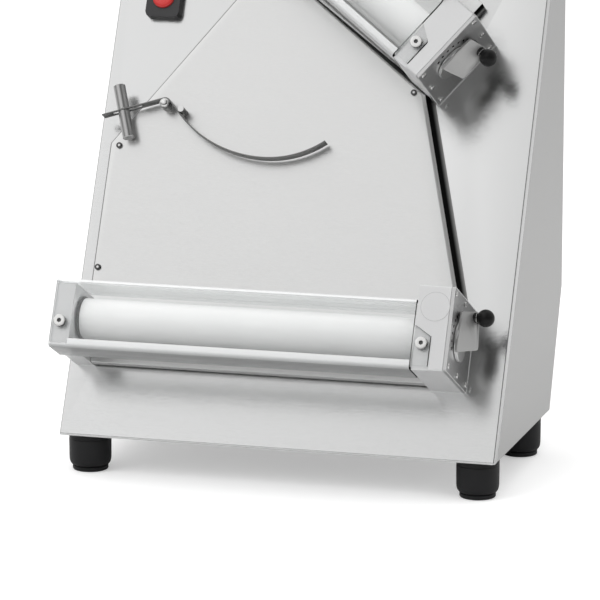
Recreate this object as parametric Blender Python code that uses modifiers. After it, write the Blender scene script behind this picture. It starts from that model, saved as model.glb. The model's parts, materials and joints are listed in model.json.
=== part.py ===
"""Bench dough sheeter with two roller heads on a leaning stainless front.

The upper head is short and slants, the lower head is wide and level. Each head holds a
fixed rear roller and a front roller that a lever with a ball knob moves in and out.
A gearmotor in the base drives both rear rollers with round belts. Between the heads a
balance arm turns the dough on the chute plate. The model stands on Z = 0 and faces -Y.
"""
import math

import bmesh
import bpy
from mathutils import Matrix, Vector

MM = 0.001
GAP = 0.3 * MM
OVERRUN = 2 * MM
WELD = 0.001 * MM
FACING_SHARE = 0.5
SQUARE_SHARE = 0.99
ROUND_STEPS = 16
FINE_STEPS = 24
SMALL_STEPS = 12
TINY_STEPS = 8
CORNER_STEPS = 2

# Body
SHEET = 1.5 * MM
BODY_WIDTH = 553 * MM
BASE_HEIGHT = 48.8 * MM
BASE_DEPTH = 300 * MM
TOP_DEPTH = 41.005 * MM
KNEE_HEIGHT = 198 * MM
TOP_HEIGHT = 700 * MM
PANEL_LEAN = math.radians(26.24)
PANEL_FLANGE = 15 * MM
PANEL_SEAM = 0.6 * MM
BASE_SETBACK = 3 * MM
VENT_COUNT = 9
VENT_PITCH = 18 * MM
VENT_LENGTH = 90 * MM
VENT_WIDTH = 5 * MM
VENT_RISE = 52 * MM

# Feet
FOOT_INSET = 28.5 * MM
FOOT_FRONT = 35.6 * MM
FOOT_REAR_INSET = 42 * MM
CUP_RADIUS = 26.4 * MM
CUP_FOOT_RADIUS = 21 * MM
CUP_ROUNDING = 8 * MM
GLIDE_RADIUS = 22.2 * MM
GLIDE_THICKNESS = 5.5 * MM
GLIDE_CHAMFER = 1.4 * MM
GLIDE_TRAVEL = 10 * MM
STUD_RADIUS = 6 * MM
STUD_TOP = 36 * MM

# Chute plate, in millimetres across and up the panel
CHUTE_RISE = 17 * MM
CHUTE_LEFT = -257 * MM
CHUTE_SHOULDER = 374 * MM
CHUTE_RIGHT_TOP = (138.4 * MM, 455.4 * MM)
CHUTE_RIGHT_LEAN = math.radians(15.8)
CHUTE_ROLLER_CLEARANCE = 2 * MM
CHUTE_DIAGONAL = math.radians(54.6)
PLATE_SCREW_RADIUS = 3.75 * MM
PLATE_SCREW_HEIGHT = 2.4 * MM
SCREW_SINK = 0.8 * MM
SHOULDER_SCREW = (12.5 * MM, -3.3 * MM)
FOOT_SCREW = (6.5 * MM, 40.4 * MM)
RIGHT_SCREW = (-12.3 * MM, 1.6 * MM)
TOP_SCREW = (-5.9637 * MM, -25.0121 * MM)
REAR_SCREW_INSET = 14.5 * MM
REAR_SCREW_ABOVE_KNEE = 34 * MM
REAR_SCREW_BELOW_TOP = 36 * MM

# Roller heads, measured from the right end of each head
HEAD_DEPTH = 115 * MM
BLOCK_HEIGHT = 104 * MM
GUARD_HEIGHT = 86 * MM
GUARD_WALL = 4 * MM
GUARD_BEND = 5 * MM
GUARD_TOP_EDGE = 50 * MM
GUARD_FOOT_EDGE = 68 * MM
HOPPER_RISE = 29 * MM
HOPPER_FLARE = 13 * MM
GUARD_TAB_REACH = 22.2 * MM
GUARD_TAB_HEIGHT = 40.3 * MM
GUARD_TAB_SHOULDER = 53.9 * MM
GUARD_SCREW_RADIUS = 7.5 * MM
GUARD_SCREW_HEIGHT = 3.6 * MM
GUARD_SCREW_EDGE = 1 * MM
GUARD_SCREW_SHANK = 3 * MM
GUARD_SCREW_LENGTH = 10 * MM
GUARD_SCREW_HEIGHT_UP = 31.9 * MM
GUARD_SCREW_RIGHT = 33.1 * MM
GUARD_SCREW_LEFT = 11.1 * MM
LEFT_BLOCK_WIDTH = 24 * MM
GEAR_BLOCK_WIDTH = 43.5 * MM
GEAR_BLOCK_WALL = 6 * MM
GEAR_BLOCK_FRONT_WALL = 11 * MM
END_PLATE = 3.7 * MM
PAD_REACH = 16 * MM
PAD_LOW = 26 * MM
PAD_HIGH = 68 * MM
PAD_REAR = 7 * MM
PAD_FRONT = 92.6 * MM
END_SCREW_RADIUS = 3.4 * MM
END_SCREW_HEIGHT = 2.2 * MM
END_SCREW_DEPTHS = (12 * MM, 60 * MM, 108 * MM)
END_SCREW_INSET = 8 * MM
EDGE_ROUNDING = 2 * MM

LOWER_END = (232 * MM, 86 * MM)
LOWER_LENGTH = 498.5 * MM
UPPER_END = (154.6 * MM, 446 * MM)
UPPER_LENGTH = 303 * MM
UPPER_SLANT = math.radians(37.5)
FEED_PLATE_TOP = 130 * MM

# Rollers
ROLLER_RADIUS = 25 * MM
ROLLER_CHAMFER = 1 * MM
ROLLER_AXIS_HEIGHT = 47 * MM
FRONT_AXIS = 72 * MM
OPEN_GAP = 4.5 * MM
CLOSING_TRAVEL = 4 * MM
SLEEVE_RADIUS = 11 * MM
SLEEVE_BORE = 8 * MM
AXLE_RADIUS = 8 * MM
END_DISC_RADIUS = 26.8 * MM
END_DISC_THICKNESS = 3 * MM
SLIDE_HALF_HEIGHT = 14 * MM
SLIDE_HALF_DEPTH = 16 * MM
LEFT_POCKET_FLOOR = 4.5 * MM
JOURNAL_LENGTH = 6 * MM
SCRAPER_LOW = 5 * MM
SCRAPER_HIGH = 14 * MM
SCRAPER_REAR = 6 * MM
SCRAPER_FRONT = 20 * MM
SCRAPER_BLADE = 1.7 * MM

# Gears and pulleys
TEETH = 17
MODULE = 3 * MM
GEAR_WIDTH = 8 * MM
GEAR_OUTER_FACE = 17.5 * MM
TOOTH_ROOT_SHARE = 0.6
TOOTH_TIP_SHARE = 0.165
DEDENDUM_SHARE = 1.25
BELT_RADIUS = 3 * MM
HEAD_PULLEY_RADIUS = 26 * MM
HEAD_PULLEY_CENTRE = 31.5 * MM
PULLEY_HALF_WIDTH = 5.5 * MM
PULLEY_RIM = 1 * MM
RIM_RISE = 1 * MM
GROOVE_HALF_WIDTH = 2.3 * MM
BELT_ARC_STEPS = 8
WINDOW_HALF_HEIGHT = 36 * MM

# Lever that sets the roller gap
LEVER_TURN = math.radians(128)
LEVER_REST = math.radians(100.5)
DETENTS = 9
DETENT_CIRCLE = 33 * MM
DETENT_RADIUS = 2 * MM
HUB_RADIUS = 24 * MM
HUB_THICKNESS = 4 * MM
SPIGOT_RADIUS = 8 * MM
SHAFT_RADIUS = 4.5 * MM
ECCENTRIC_RADIUS = 7 * MM
ECCENTRIC_WIDTH = 5 * MM
BLADE_THICKNESS = 2.5 * MM
BLADE_FRONT = 27 * MM
BLADE_BEND = 18 * MM
BLADE_REAR = -12 * MM
BLADE_LIFT = 3.2 * MM
BLADE_FLARE = 14.5 * MM
BLADE_FOOT = -19.5 * MM
BLADE_SHOULDER = 33.5 * MM
BLADE_TOP = 41 * MM
BLADE_HEEL = -6 * MM
BLADE_ROUNDING = 4 * MM
SLEEVE_BOSS_RADIUS = 6 * MM
SLEEVE_BOSS_TOP = 18.6 * MM
SLEEVE_BOSS_FOOT = 1.2 * MM
KNOB_RADIUS = 11 * MM
KNOB_CENTRE = 30.5 * MM
KNOB_NECK = 4 * MM
PIN_RADIUS = 3 * MM
PIN_TIP = 1.7 * MM
PIN_TAPER = 3 * MM

# Balance arm on the chute plate
PIVOT_INSET = 70.1 * MM
PIVOT_RISE = 49.1 * MM
STRAP_WIDTH = 14 * MM
STRAP_THICKNESS = 1.5 * MM
STRAP_LIFT = 21.5 * MM
ARM_SLOPE = math.radians(18.2)
STRAP_SLOPE = math.radians(48)
ARM_LENGTH = 82 * MM
HUB_TUBE_RADIUS = 6.5 * MM
PIVOT_RADIUS = 4 * MM
PIVOT_BASE_RADIUS = 6 * MM
PIVOT_HEAD_RADIUS = 6 * MM
PIVOT_HEAD = 4 * MM
SLOT_START = 30 * MM
SLOT_END = 69 * MM
SLOT_HALF_WIDTH = 3.3 * MM
STRAP_STRAIGHT = 21 * MM
STRAP_LONG_RADIUS = 160 * MM
STRAP_END_RADIUS = 125 * MM
STRAP_END_TURN = math.radians(37)
STRAP_STEPS = 7
WEIGHT_PLACE = 54.7 * MM
WEIGHT_RADIUS = 7.5 * MM
WEIGHT_UPPER = 33 * MM
WEIGHT_LOWER = 36 * MM
WEIGHT_CHAMFER = 0.8 * MM
WEIGHT_STUD = 3 * MM
STOP_PLACE = 20 * MM
STOP_RADIUS = 4 * MM
STOP_TOP = 38 * MM

# Push buttons on the front
SWITCH_PLACE = (-215 * MM, 590 * MM)
SWITCH_WIDTH = 44 * MM
SWITCH_HEIGHT = 92 * MM
SWITCH_DEPTH = 12 * MM
SWITCH_FLOOR = 3 * MM
SWITCH_ROUNDING = 6 * MM
BUTTON_SPREAD = 21 * MM
BUTTON_RADIUS = 14 * MM
BUTTON_TRAVEL = 3 * MM
BUTTON_PROUD = 4 * MM
BUTTON_DOME = 1.2 * MM

# Gearmotor, relay shaft and their belts
DRIVE_DEPTH = 190 * MM
DRIVE_HEIGHT = 115 * MM
DRIVE_PULLEY_RADIUS = 20 * MM
GROOVE_SPACING = 14 * MM
MOTOR_RADIUS = 56 * MM
MOTOR_LEFT = -150 * MM
MOTOR_RIGHT = 84 * MM
MOTOR_FOOT_HALF = 46 * MM
MOTOR_FOOT_LEFT = -90 * MM
MOTOR_FOOT_RIGHT = 40 * MM
MOTOR_FOOT_HEIGHT = 20 * MM
FAN_COVER_LENGTH = 42 * MM
MOTOR_RIB = 3 * MM
MOTOR_RIBS = 3
GEARBOX_RIGHT = 172 * MM
GEARBOX_HALF = 52 * MM
GEARBOX_RISE = 50 * MM
GEARBOX_ROUNDING = 8 * MM
OUTPUT_BOSS = 24 * MM
OUTPUT_BOSS_LENGTH = 8 * MM
OUTPUT_SHAFT = 9 * MM
SHAFT_SOCKET = 30 * MM
RELAY_DISTANCE = 110 * MM
RELAY_SHAFT_RADIUS = 8 * MM
RELAY_END = 8 * MM
BRACKET_HALF_WIDTH = 12 * MM
BRACKET_WALL = 5 * MM
BRACKET_HALF_HEIGHT = 22 * MM
BRACKET_NOSE = 16 * MM

# Cable gland on the back
GLAND_PLACE = (-200 * MM, 230 * MM)
GLAND_REACH = 18 * MM
GLAND_FLANGE = 5 * MM
GLAND_FLANGE_RADIUS = 13 * MM
GLAND_DOME_RADIUS = 10 * MM
GLAND_THREAD_RADIUS = 8 * MM
GLAND_BORE = 4 * MM
GLAND_BORE_DEPTH = 15 * MM
GLAND_INSIDE = 10 * MM

LEAN_SIN = math.sin(PANEL_LEAN)
LEAN_COS = math.cos(PANEL_LEAN)
PANEL_LENGTH = (TOP_HEIGHT - BASE_HEIGHT) / LEAN_COS
MICRON_DIGITS = 6
KNEE_DEPTH = round((TOP_HEIGHT - BASE_HEIGHT) * math.tan(PANEL_LEAN) + TOP_DEPTH, MICRON_DIGITS)
FOOT_SPREAD = BODY_WIDTH / 2 - FOOT_INSET
FOOT_REAR = BASE_DEPTH - FOOT_REAR_INSET
REAR_AXIS = FRONT_AXIS - 2 * ROLLER_RADIUS - OPEN_GAP
REST_ECCENTRIC = math.radians(90) - LEVER_TURN / 2
ECCENTRICITY = CLOSING_TRAVEL / 2 / math.cos(REST_ECCENTRIC)
PIVOT = (CHUTE_LEFT + PIVOT_INSET, CHUTE_SHOULDER + PIVOT_RISE)
LEVER_AXIS = FRONT_AXIS - CLOSING_TRAVEL / 2
FRONT_REACH = HEAD_DEPTH * LEAN_COS - LOWER_END[1] * LEAN_SIN
MIDDLE_DEPTH = (KNEE_DEPTH + GLAND_REACH - FRONT_REACH) / 2

ALONG_X = Matrix(((0, 0, 1), (1, 0, 0), (0, 1, 0))).to_euler()
ALONG_Y = Matrix(((0, 1, 0), (0, 0, 1), (1, 0, 0))).to_euler()
AXIS_ON_X = (0, math.radians(90), 0)
ORIGIN = (0, 0, 0)
UPRIGHT = (0, 0, 0)

for old in list(bpy.data.objects):
    bpy.data.objects.remove(old, do_unlink=True)

scene_collection = bpy.context.scene.collection
parts = bpy.data.collections.new("dough_sheeter")
cutters = bpy.data.collections.new("cutters")
scene_collection.children.link(parts)
scene_collection.children.link(cutters)


def material(name, colour, metallic, roughness):
    made = bpy.data.materials.new(name)
    made.use_nodes = True
    shader = made.node_tree.nodes["Principled BSDF"]
    shader.inputs["Base Color"].default_value = (*colour, 1)
    shader.inputs["Metallic"].default_value = metallic
    shader.inputs["Roughness"].default_value = roughness
    return made


STAINLESS = ((0.72, 0.72, 0.71), 1.0, 0.34)
ALUMINIUM = ((0.76, 0.77, 0.77), 0.9, 0.42)
STEEL = ((0.5, 0.5, 0.5), 1.0, 0.3)
ROLLER_WHITE = ((0.88, 0.88, 0.87), 0.0, 0.4)
BLACK_PLASTIC = ((0.02, 0.02, 0.022), 0.0, 0.45)
CLEAR = ((0.9, 0.93, 0.93), 0.0, 0.08)
BELT_ORANGE = ((0.65, 0.24, 0.06), 0.0, 0.5)
MOTOR_GREY = ((0.3, 0.32, 0.34), 0.4, 0.55)
SIGNAL_RED = ((0.6, 0.03, 0.03), 0.0, 0.35)
SIGNAL_GREEN = ((0.03, 0.35, 0.1), 0.0, 0.35)


def empty(name, parent, location, turn=UPRIGHT):
    frame = bpy.data.objects.new(name, None)
    scene_collection.objects.link(frame)
    frame.parent = parent
    frame.location = location
    frame.rotation_euler = turn
    return frame


def attach(name, mesh, frame, location, turn, finish):
    """A mesh becomes a part when it has a finish, and otherwise a cutter."""
    made = bpy.data.objects.new(name, mesh)
    made.parent = frame
    made.location = location
    made.rotation_euler = turn
    if finish is None:
        cutters.objects.link(made)
        made.hide_render = True
        made.display_type = 'WIRE'
    else:
        parts.objects.link(made)
        mesh.materials.clear()
        mesh.materials.append(material(name, *finish))
    return made


def box(name, low, high, frame, finish=None):
    shape = bmesh.new()
    bmesh.ops.create_cube(shape, size=1)
    size = Vector(high) - Vector(low)
    bmesh.ops.scale(shape, vec=size, verts=shape.verts)
    bmesh.ops.translate(shape, vec=(Vector(low) + Vector(high)) / 2, verts=shape.verts)
    mesh = bpy.data.meshes.new(name)
    shape.to_mesh(mesh)
    shape.free()
    return attach(name, mesh, frame, ORIGIN, UPRIGHT, finish)


def drum(name, radius, start, end, frame, centre=(0, 0), finish=None, steps=ROUND_STEPS, turn=AXIS_ON_X):
    """A cylinder along the frame's X from start to end, centred on (y, z)."""
    shape = bmesh.new()
    bmesh.ops.create_cone(shape, cap_ends=True, segments=steps, radius1=radius, radius2=radius,
                          depth=end - start)
    bmesh.ops.translate(shape, vec=(0, 0, (start + end) / 2), verts=shape.verts)
    mesh = bpy.data.meshes.new(name)
    shape.to_mesh(mesh)
    shape.free()
    place = (0, *centre) if turn == AXIS_ON_X else (*centre, 0)
    return attach(name, mesh, frame, place, turn, finish)


def prism(name, outlines, start, end, frame, place=ORIGIN, turn=UPRIGHT, finish=None):
    """A filled 2D curve: the first outline less the others, from start to end of its own Z."""
    curve = bpy.data.curves.new(name, 'CURVE')
    curve.dimensions = '2D'
    curve.fill_mode = 'BOTH'
    curve.extrude = (end - start) / 2
    for outline in outlines:
        spline = curve.splines.new('POLY')
        spline.points.add(len(outline) - 1)
        for point, (across, up) in zip(spline.points, outline):
            point.co = (across, up, 0, 1)
        spline.use_cyclic_u = True
    flat = bpy.data.objects.new(name + "_outline", curve)
    scene_collection.objects.link(flat)
    bpy.context.view_layer.update()
    seen = flat.evaluated_get(bpy.context.evaluated_depsgraph_get())
    mesh = bpy.data.meshes.new_from_object(seen)
    bpy.data.objects.remove(flat)
    mesh.name = name
    shape = bmesh.new()
    shape.from_mesh(mesh)
    bmesh.ops.remove_doubles(shape, verts=shape.verts, dist=WELD)
    bmesh.ops.translate(shape, vec=(0, 0, (start + end) / 2), verts=shape.verts)
    bmesh.ops.recalc_face_normals(shape, faces=shape.faces)
    shape.to_mesh(mesh)
    shape.free()
    return attach(name, mesh, frame, place, turn, finish)


def turned(name, profile, frame, place=ORIGIN, turn=AXIS_ON_X, finish=None, steps=ROUND_STEPS,
           ring=False):
    """A profile of (radius, along) points, spun round the object's own Z."""
    mesh = bpy.data.meshes.new(name)
    points = [(radius, 0, along) for radius, along in profile]
    edges = [(index, index + 1) for index in range(len(points) - 1)]
    if ring:
        edges.append((len(points) - 1, 0))
    mesh.from_pydata(points, edges, [])
    made = attach(name, mesh, frame, place, turn, finish)
    screw = made.modifiers.new("turn", 'SCREW')
    screw.steps = steps
    screw.render_steps = steps
    screw.use_merge_vertices = True
    screw.merge_threshold = WELD
    screw.use_normal_calculate = False
    return made


def combine(target, operation, tools):
    for tool in tools:
        step = target.modifiers.new(operation.lower(), 'BOOLEAN')
        step.operation = operation
        step.solver = 'EXACT'
        step.object = tool


def cut(target, *tools):
    combine(target, 'DIFFERENCE', tools)


def fuse(target, *tools):
    combine(target, 'UNION', tools)


def circle(radius, centre=(0, 0), steps=SMALL_STEPS):
    turns = [2 * math.pi * step / steps for step in range(steps)]
    return [(centre[0] + radius * math.cos(turn), centre[1] + radius * math.sin(turn)) for turn in turns]


def arc(centre, radius, start, end, steps):
    turns = [start + (end - start) * step / steps for step in range(steps + 1)]
    return [(centre[0] + radius * math.cos(turn), centre[1] + radius * math.sin(turn)) for turn in turns]


def slot(half_width, low, high, across):
    """A slot with round ends: its ends' centres are low and high on the second axis."""
    half = SMALL_STEPS // 2
    return arc((across, high), half_width, 0, math.pi, half) + arc((across, low), half_width, math.pi,
                                                                   2 * math.pi, half)


def bend(here, before, after, radius):
    """The arc that rounds one corner."""
    corner = Vector(here)
    back = (Vector(before) - corner).normalized()
    ahead = (Vector(after) - corner).normalized()
    half = back.angle(ahead) / 2
    centre = corner + (back + ahead).normalized() * radius / math.sin(half)
    start = corner + back * radius / math.tan(half) - centre
    end = corner + ahead * radius / math.tan(half) - centre
    first = math.atan2(start.y, start.x)
    sweep = math.atan2(start.x * end.y - start.y * end.x, start.dot(end))
    return arc(tuple(centre), radius, first, first + sweep, CORNER_STEPS)


def rounded(corners, radius):
    count = len(corners)
    points = []
    for index, corner in enumerate(corners):
        points += bend(corner, corners[index - 1], corners[(index + 1) % count], radius)
    return points


def rectangle(low, high):
    return [(low[0], low[1]), (high[0], low[1]), (high[0], high[1]), (low[0], high[1])]


def bent_line(corners, radius):
    """An open line whose inner corners are rounded."""
    points = [corners[0]]
    for before, here, after in zip(corners, corners[1:], corners[2:]):
        points += bend(here, before, after, radius)
    points.append(corners[-1])
    return points


def strip(line, thickness):
    """The outline of a sheet of the given thickness that lies to the left of an open line."""
    inner = []
    for index, point in enumerate(line):
        here = Vector(point)
        before = (here - Vector(line[index - 1])).normalized() if index else None
        after = (Vector(line[index + 1]) - here).normalized() if index + 1 < len(line) else None
        first = before or after
        second = after or before
        left = Vector((-first.y - second.y, first.x + second.x)).normalized()
        reach = thickness / left.dot(Vector((-first.y, first.x)))
        inner.append(tuple(here + left * reach))
    return list(line) + inner[::-1]


def panel_line(height, inset):
    """Depth of the leaning front at a height, that far in behind its face."""
    return (height - BASE_HEIGHT) * math.tan(PANEL_LEAN) + inset / LEAN_COS


def gear_outline():
    """Teeth with straight flanks, each given by its width at the root and at the tip."""
    pitch_radius = TEETH * MODULE / 2
    root_radius = pitch_radius - DEDENDUM_SHARE * MODULE
    tip_radius = pitch_radius + MODULE
    rings = ((root_radius, TOOTH_ROOT_SHARE), (tip_radius, TOOTH_TIP_SHARE))
    pitch_turn = 2 * math.pi / TEETH
    points = []
    for tooth in range(TEETH):
        middle = tooth * pitch_turn
        for radius, share in rings:
            turn = middle - share * pitch_turn / 2
            points.append((radius * math.cos(turn), radius * math.sin(turn)))
        for radius, share in rings[::-1]:
            turn = middle + share * pitch_turn / 2
            points.append((radius * math.cos(turn), radius * math.sin(turn)))
    return points


def turned_points(points, turn):
    spin = Matrix.Rotation(turn, 2)
    return [tuple(spin @ Vector(point)) for point in points]


def groove(centre, radius):
    """A belt groove in a pulley rim, from its +X side to its -X side."""
    rim = radius + RIM_RISE
    floor = radius - BELT_RADIUS - 3 * GAP
    lip = PULLEY_HALF_WIDTH - PULLEY_RIM
    return [(rim, centre + PULLEY_HALF_WIDTH), (rim, centre + lip), (floor, centre + GROOVE_HALF_WIDTH),
            (floor, centre - GROOVE_HALF_WIDTH), (rim, centre - lip), (rim, centre - PULLEY_HALF_WIDTH)]


def belt(name, first, second, finish):
    """A round belt round two pulleys, each given as a centre, an axis and a belt radius."""
    (start, start_axis, start_radius), (end, end_axis, end_radius) = first, second
    ahead = (end - start).normalized()
    lead = math.asin((start_radius - end_radius) / (end - start).length)
    points = []
    for centre, axis, radius, onward in ((start, start_axis, start_radius, -1),
                                         (end, end_axis, end_radius, 1)):
        side = axis.cross(ahead).normalized()
        forward = side.cross(axis).normalized()
        reach = math.pi / 2 + onward * -lead
        for step in range(BELT_ARC_STEPS + 1):
            turn = reach - 2 * reach * step / BELT_ARC_STEPS
            outward = math.cos(turn) * forward + math.sin(turn) * side
            points.append(centre + radius * onward * outward)
    curve = bpy.data.curves.new(name, 'CURVE')
    curve.dimensions = '3D'
    curve.bevel_depth = BELT_RADIUS
    curve.bevel_resolution = 2
    curve.use_fill_caps = True
    spline = curve.splines.new('POLY')
    spline.points.add(len(points) - 1)
    for point, place in zip(spline.points, points):
        point.co = (*place, 1)
    spline.use_cyclic_u = True
    made = bpy.data.objects.new(name, curve)
    parts.objects.link(made)
    curve.materials.append(material(name, *finish))
    return made


machine = empty("machine", None, (0, -MIDDLE_DEPTH, 0))
panel = empty("panel_plane", machine, (0, 0, BASE_HEIGHT), (math.radians(90) - PANEL_LEAN, 0, 0))
lower_head = empty("lower_head", panel, (*LOWER_END, 0))
upper_head = empty("upper_head", panel, (*UPPER_END, 0), (0, 0, -UPPER_SLANT))
HEADS = (("lower", lower_head, LOWER_LENGTH), ("upper", upper_head, UPPER_LENGTH))


def make_front_panel():
    """A tray with two side flanges, and a window behind each head."""
    half = BODY_WIDTH / 2
    front = box("front_panel", (-half, 0, -PANEL_FLANGE), (half, PANEL_LENGTH, 0), panel, STAINLESS)
    shape = bmesh.new()
    shape.from_mesh(front.data)
    open_faces = [face for face in shape.faces if abs(face.normal.y) > face.normal.z + abs(face.normal.x)
                  or face.normal.z < -abs(face.normal.x)]
    bmesh.ops.delete(shape, geom=open_faces, context='FACES')
    shape.to_mesh(front.data)
    shape.free()
    wall = front.modifiers.new("wall", 'SOLIDIFY')
    wall.thickness = SHEET
    wall.offset = -1
    wall.use_even_offset = True
    below = box("panel_foot_cut", (-half - OVERRUN, -BASE_DEPTH, -BASE_HEIGHT),
                (half + OVERRUN, BASE_DEPTH, BASE_HEIGHT),
                machine)
    cut(front, below)
    for name, frame, length in HEADS:
        low = (LEFT_BLOCK_WIDTH - length + GAP, ROLLER_AXIS_HEIGHT - WINDOW_HALF_HEIGHT, -SHEET - OVERRUN)
        high = (-PAD_REACH, ROLLER_AXIS_HEIGHT + WINDOW_HALF_HEIGHT, OVERRUN)
        cut(front, box(name + "_window_cut", low, high, frame))


def make_side_panels():
    inset = PANEL_FLANGE + PANEL_SEAM
    outline = [(panel_line(BASE_HEIGHT, inset), BASE_HEIGHT), (BASE_DEPTH, BASE_HEIGHT),
               (KNEE_DEPTH, KNEE_HEIGHT),
               (KNEE_DEPTH, TOP_HEIGHT), (panel_line(TOP_HEIGHT, inset), TOP_HEIGHT)]
    half = BODY_WIDTH / 2
    prism("left_side_panel", [outline], -half, SHEET - half, machine, turn=ALONG_X, finish=STAINLESS)
    prism("right_side_panel", [outline], half - SHEET, half, machine, turn=ALONG_X, finish=STAINLESS)


def make_rear_cover():
    """One folded sheet: the sloping foot, the upright back with its louvres, and the top."""
    half = BODY_WIDTH / 2 - SHEET - GAP
    top_front = panel_line(TOP_HEIGHT, SHEET) + GAP
    line = [(top_front, TOP_HEIGHT), (KNEE_DEPTH, TOP_HEIGHT), (KNEE_DEPTH, KNEE_HEIGHT),
            (BASE_DEPTH, BASE_HEIGHT)]
    outline = strip(line, -SHEET)
    cover = prism("rear_cover", [outline], -half, half, machine, turn=ALONG_X, finish=STAINLESS)
    for index in range(VENT_COUNT):
        height = KNEE_HEIGHT + VENT_RISE + index * VENT_PITCH
        low = (-VENT_LENGTH / 2, KNEE_DEPTH - SHEET - OVERRUN, height)
        high = (VENT_LENGTH / 2, KNEE_DEPTH + OVERRUN, height + VENT_WIDTH)
        cut(cover, box("vent_cut_%d" % index, low, high, machine))
    across, height = GLAND_PLACE
    hole = drum("gland_hole_cut", GLAND_THREAD_RADIUS + GAP, -SHEET - OVERRUN, OVERRUN, machine,
                turn=(math.radians(-90), 0, 0))
    hole.location = (across, KNEE_DEPTH, height)
    spread = BODY_WIDTH / 2 - REAR_SCREW_INSET
    lowest = KNEE_HEIGHT + REAR_SCREW_ABOVE_KNEE
    highest = TOP_HEIGHT - REAR_SCREW_BELOW_TOP
    heights = (lowest, (lowest + highest) / 2, highest)
    places = [(side * spread, KNEE_DEPTH, height) for side in (-1, 1) for height in heights]
    backward = Matrix.Rotation(math.radians(-90), 3, 'X')
    fuse(cover, screw_heads("cover_screws", machine, places, backward, PLATE_SCREW_RADIUS,
                            PLATE_SCREW_HEIGHT))
    cut(cover, hole)


def make_base_plate():
    half = BODY_WIDTH / 2 - SHEET - GAP
    front = panel_line(BASE_HEIGHT + SHEET, SHEET + GAP)
    box("base_plate", (-half, front, BASE_HEIGHT), (half, BASE_DEPTH - BASE_SETBACK, BASE_HEIGHT + SHEET),
        machine, STAINLESS)


def lower_notches():
    """The lower edge of the chute steps round the two blocks of the lower head."""
    left_side = LOWER_END[0] - LOWER_LENGTH + LEFT_BLOCK_WIDTH + GAP
    right_side = LOWER_END[0] - GEAR_BLOCK_WIDTH - GAP
    left_top = LOWER_END[1] + GUARD_HEIGHT
    right_top = LOWER_END[1] + BLOCK_HEIGHT + CHUTE_ROLLER_CLEARANCE
    foot = LOWER_END[1] + ROLLER_AXIS_HEIGHT + ROLLER_RADIUS + CHUTE_ROLLER_CLEARANCE
    return left_side, right_side, left_top, right_top, foot


def make_chute_plate():
    """A raised tray with folded edges that leads the dough to the lower rollers."""
    left_side, right_side, left_top, right_top, foot = lower_notches()
    right_x, right_u = CHUTE_RIGHT_TOP
    right_foot = right_x + (right_u - right_top) * math.tan(CHUTE_RIGHT_LEAN)
    run = Vector((-math.cos(UPPER_SLANT), math.sin(UPPER_SLANT)))
    rise = Vector((math.cos(CHUTE_DIAGONAL), math.sin(CHUTE_DIAGONAL)))
    across = Vector((CHUTE_LEFT, CHUTE_SHOULDER)) - Vector(CHUTE_RIGHT_TOP)
    reach = (across.x * rise.y - across.y * rise.x) / (run.x * rise.y - run.y * rise.x)
    top = Vector(CHUTE_RIGHT_TOP) + run * reach
    outline = [(CHUTE_LEFT, left_top), (left_side, left_top), (left_side, foot), (right_side, foot),
               (right_side, right_top), (right_foot, right_top), CHUTE_RIGHT_TOP, tuple(top),
               (CHUTE_LEFT, CHUTE_SHOULDER)]
    chute = prism("chute_plate", [outline], GAP, CHUTE_RISE, panel, finish=STAINLESS)
    shape = bmesh.new()
    shape.from_mesh(chute.data)
    open_faces = []
    for face in shape.faces:
        middle = face.calc_center_median()
        turned_in = face.normal.z < -FACING_SHARE
        beside_rollers = left_side - OVERRUN < middle.x < right_foot and middle.y < right_top + OVERRUN
        at_foot = beside_rollers and abs(face.normal.z) < FACING_SHARE and face.normal.x < SQUARE_SHARE
        under_shoulder = face.normal.y < -FACING_SHARE and middle.y < right_top
        squarely_right = face.normal.x > SQUARE_SHARE
        if turned_in or at_foot or under_shoulder or squarely_right:
            open_faces.append(face)
    bmesh.ops.delete(shape, geom=open_faces, context='FACES')
    shape.to_mesh(chute.data)
    shape.free()
    wall = chute.modifiers.new("wall", 'SOLIDIFY')
    wall.thickness = SHEET
    wall.offset = -1
    wall.use_even_offset = True
    corners = (((CHUTE_LEFT, CHUTE_SHOULDER), SHOULDER_SCREW), ((CHUTE_LEFT, left_top), FOOT_SCREW),
               (CHUTE_RIGHT_TOP, RIGHT_SCREW), (top, TOP_SCREW))
    places = [(round(corner[0] + inset[0], MICRON_DIGITS), round(corner[1] + inset[1], MICRON_DIGITS),
               CHUTE_RISE) for corner, inset in corners]
    fuse(chute, screw_heads("chute_screws", panel, places, Matrix.Identity(3), PLATE_SCREW_RADIUS,
                            PLATE_SCREW_HEIGHT))
    return chute


def make_feed_plate():
    """The short plate above the upper rollers that the dough is laid on."""
    left = LEFT_BLOCK_WIDTH - UPPER_LENGTH + GAP
    right = -GEAR_BLOCK_WIDTH - GAP
    foot = ROLLER_AXIS_HEIGHT + ROLLER_RADIUS + CHUTE_ROLLER_CLEARANCE
    tray = box("feed_plate", (left, foot, GAP), (right, FEED_PLATE_TOP, CHUTE_RISE), upper_head, STAINLESS)
    shape = bmesh.new()
    shape.from_mesh(tray.data)
    open_faces = [face for face in shape.faces
                  if face.normal.z < -FACING_SHARE or face.normal.y < -FACING_SHARE]
    bmesh.ops.delete(shape, geom=open_faces, context='FACES')
    shape.to_mesh(tray.data)
    shape.free()
    wall = tray.modifiers.new("wall", 'SOLIDIFY')
    wall.thickness = SHEET
    wall.offset = -1
    wall.use_even_offset = True


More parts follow.
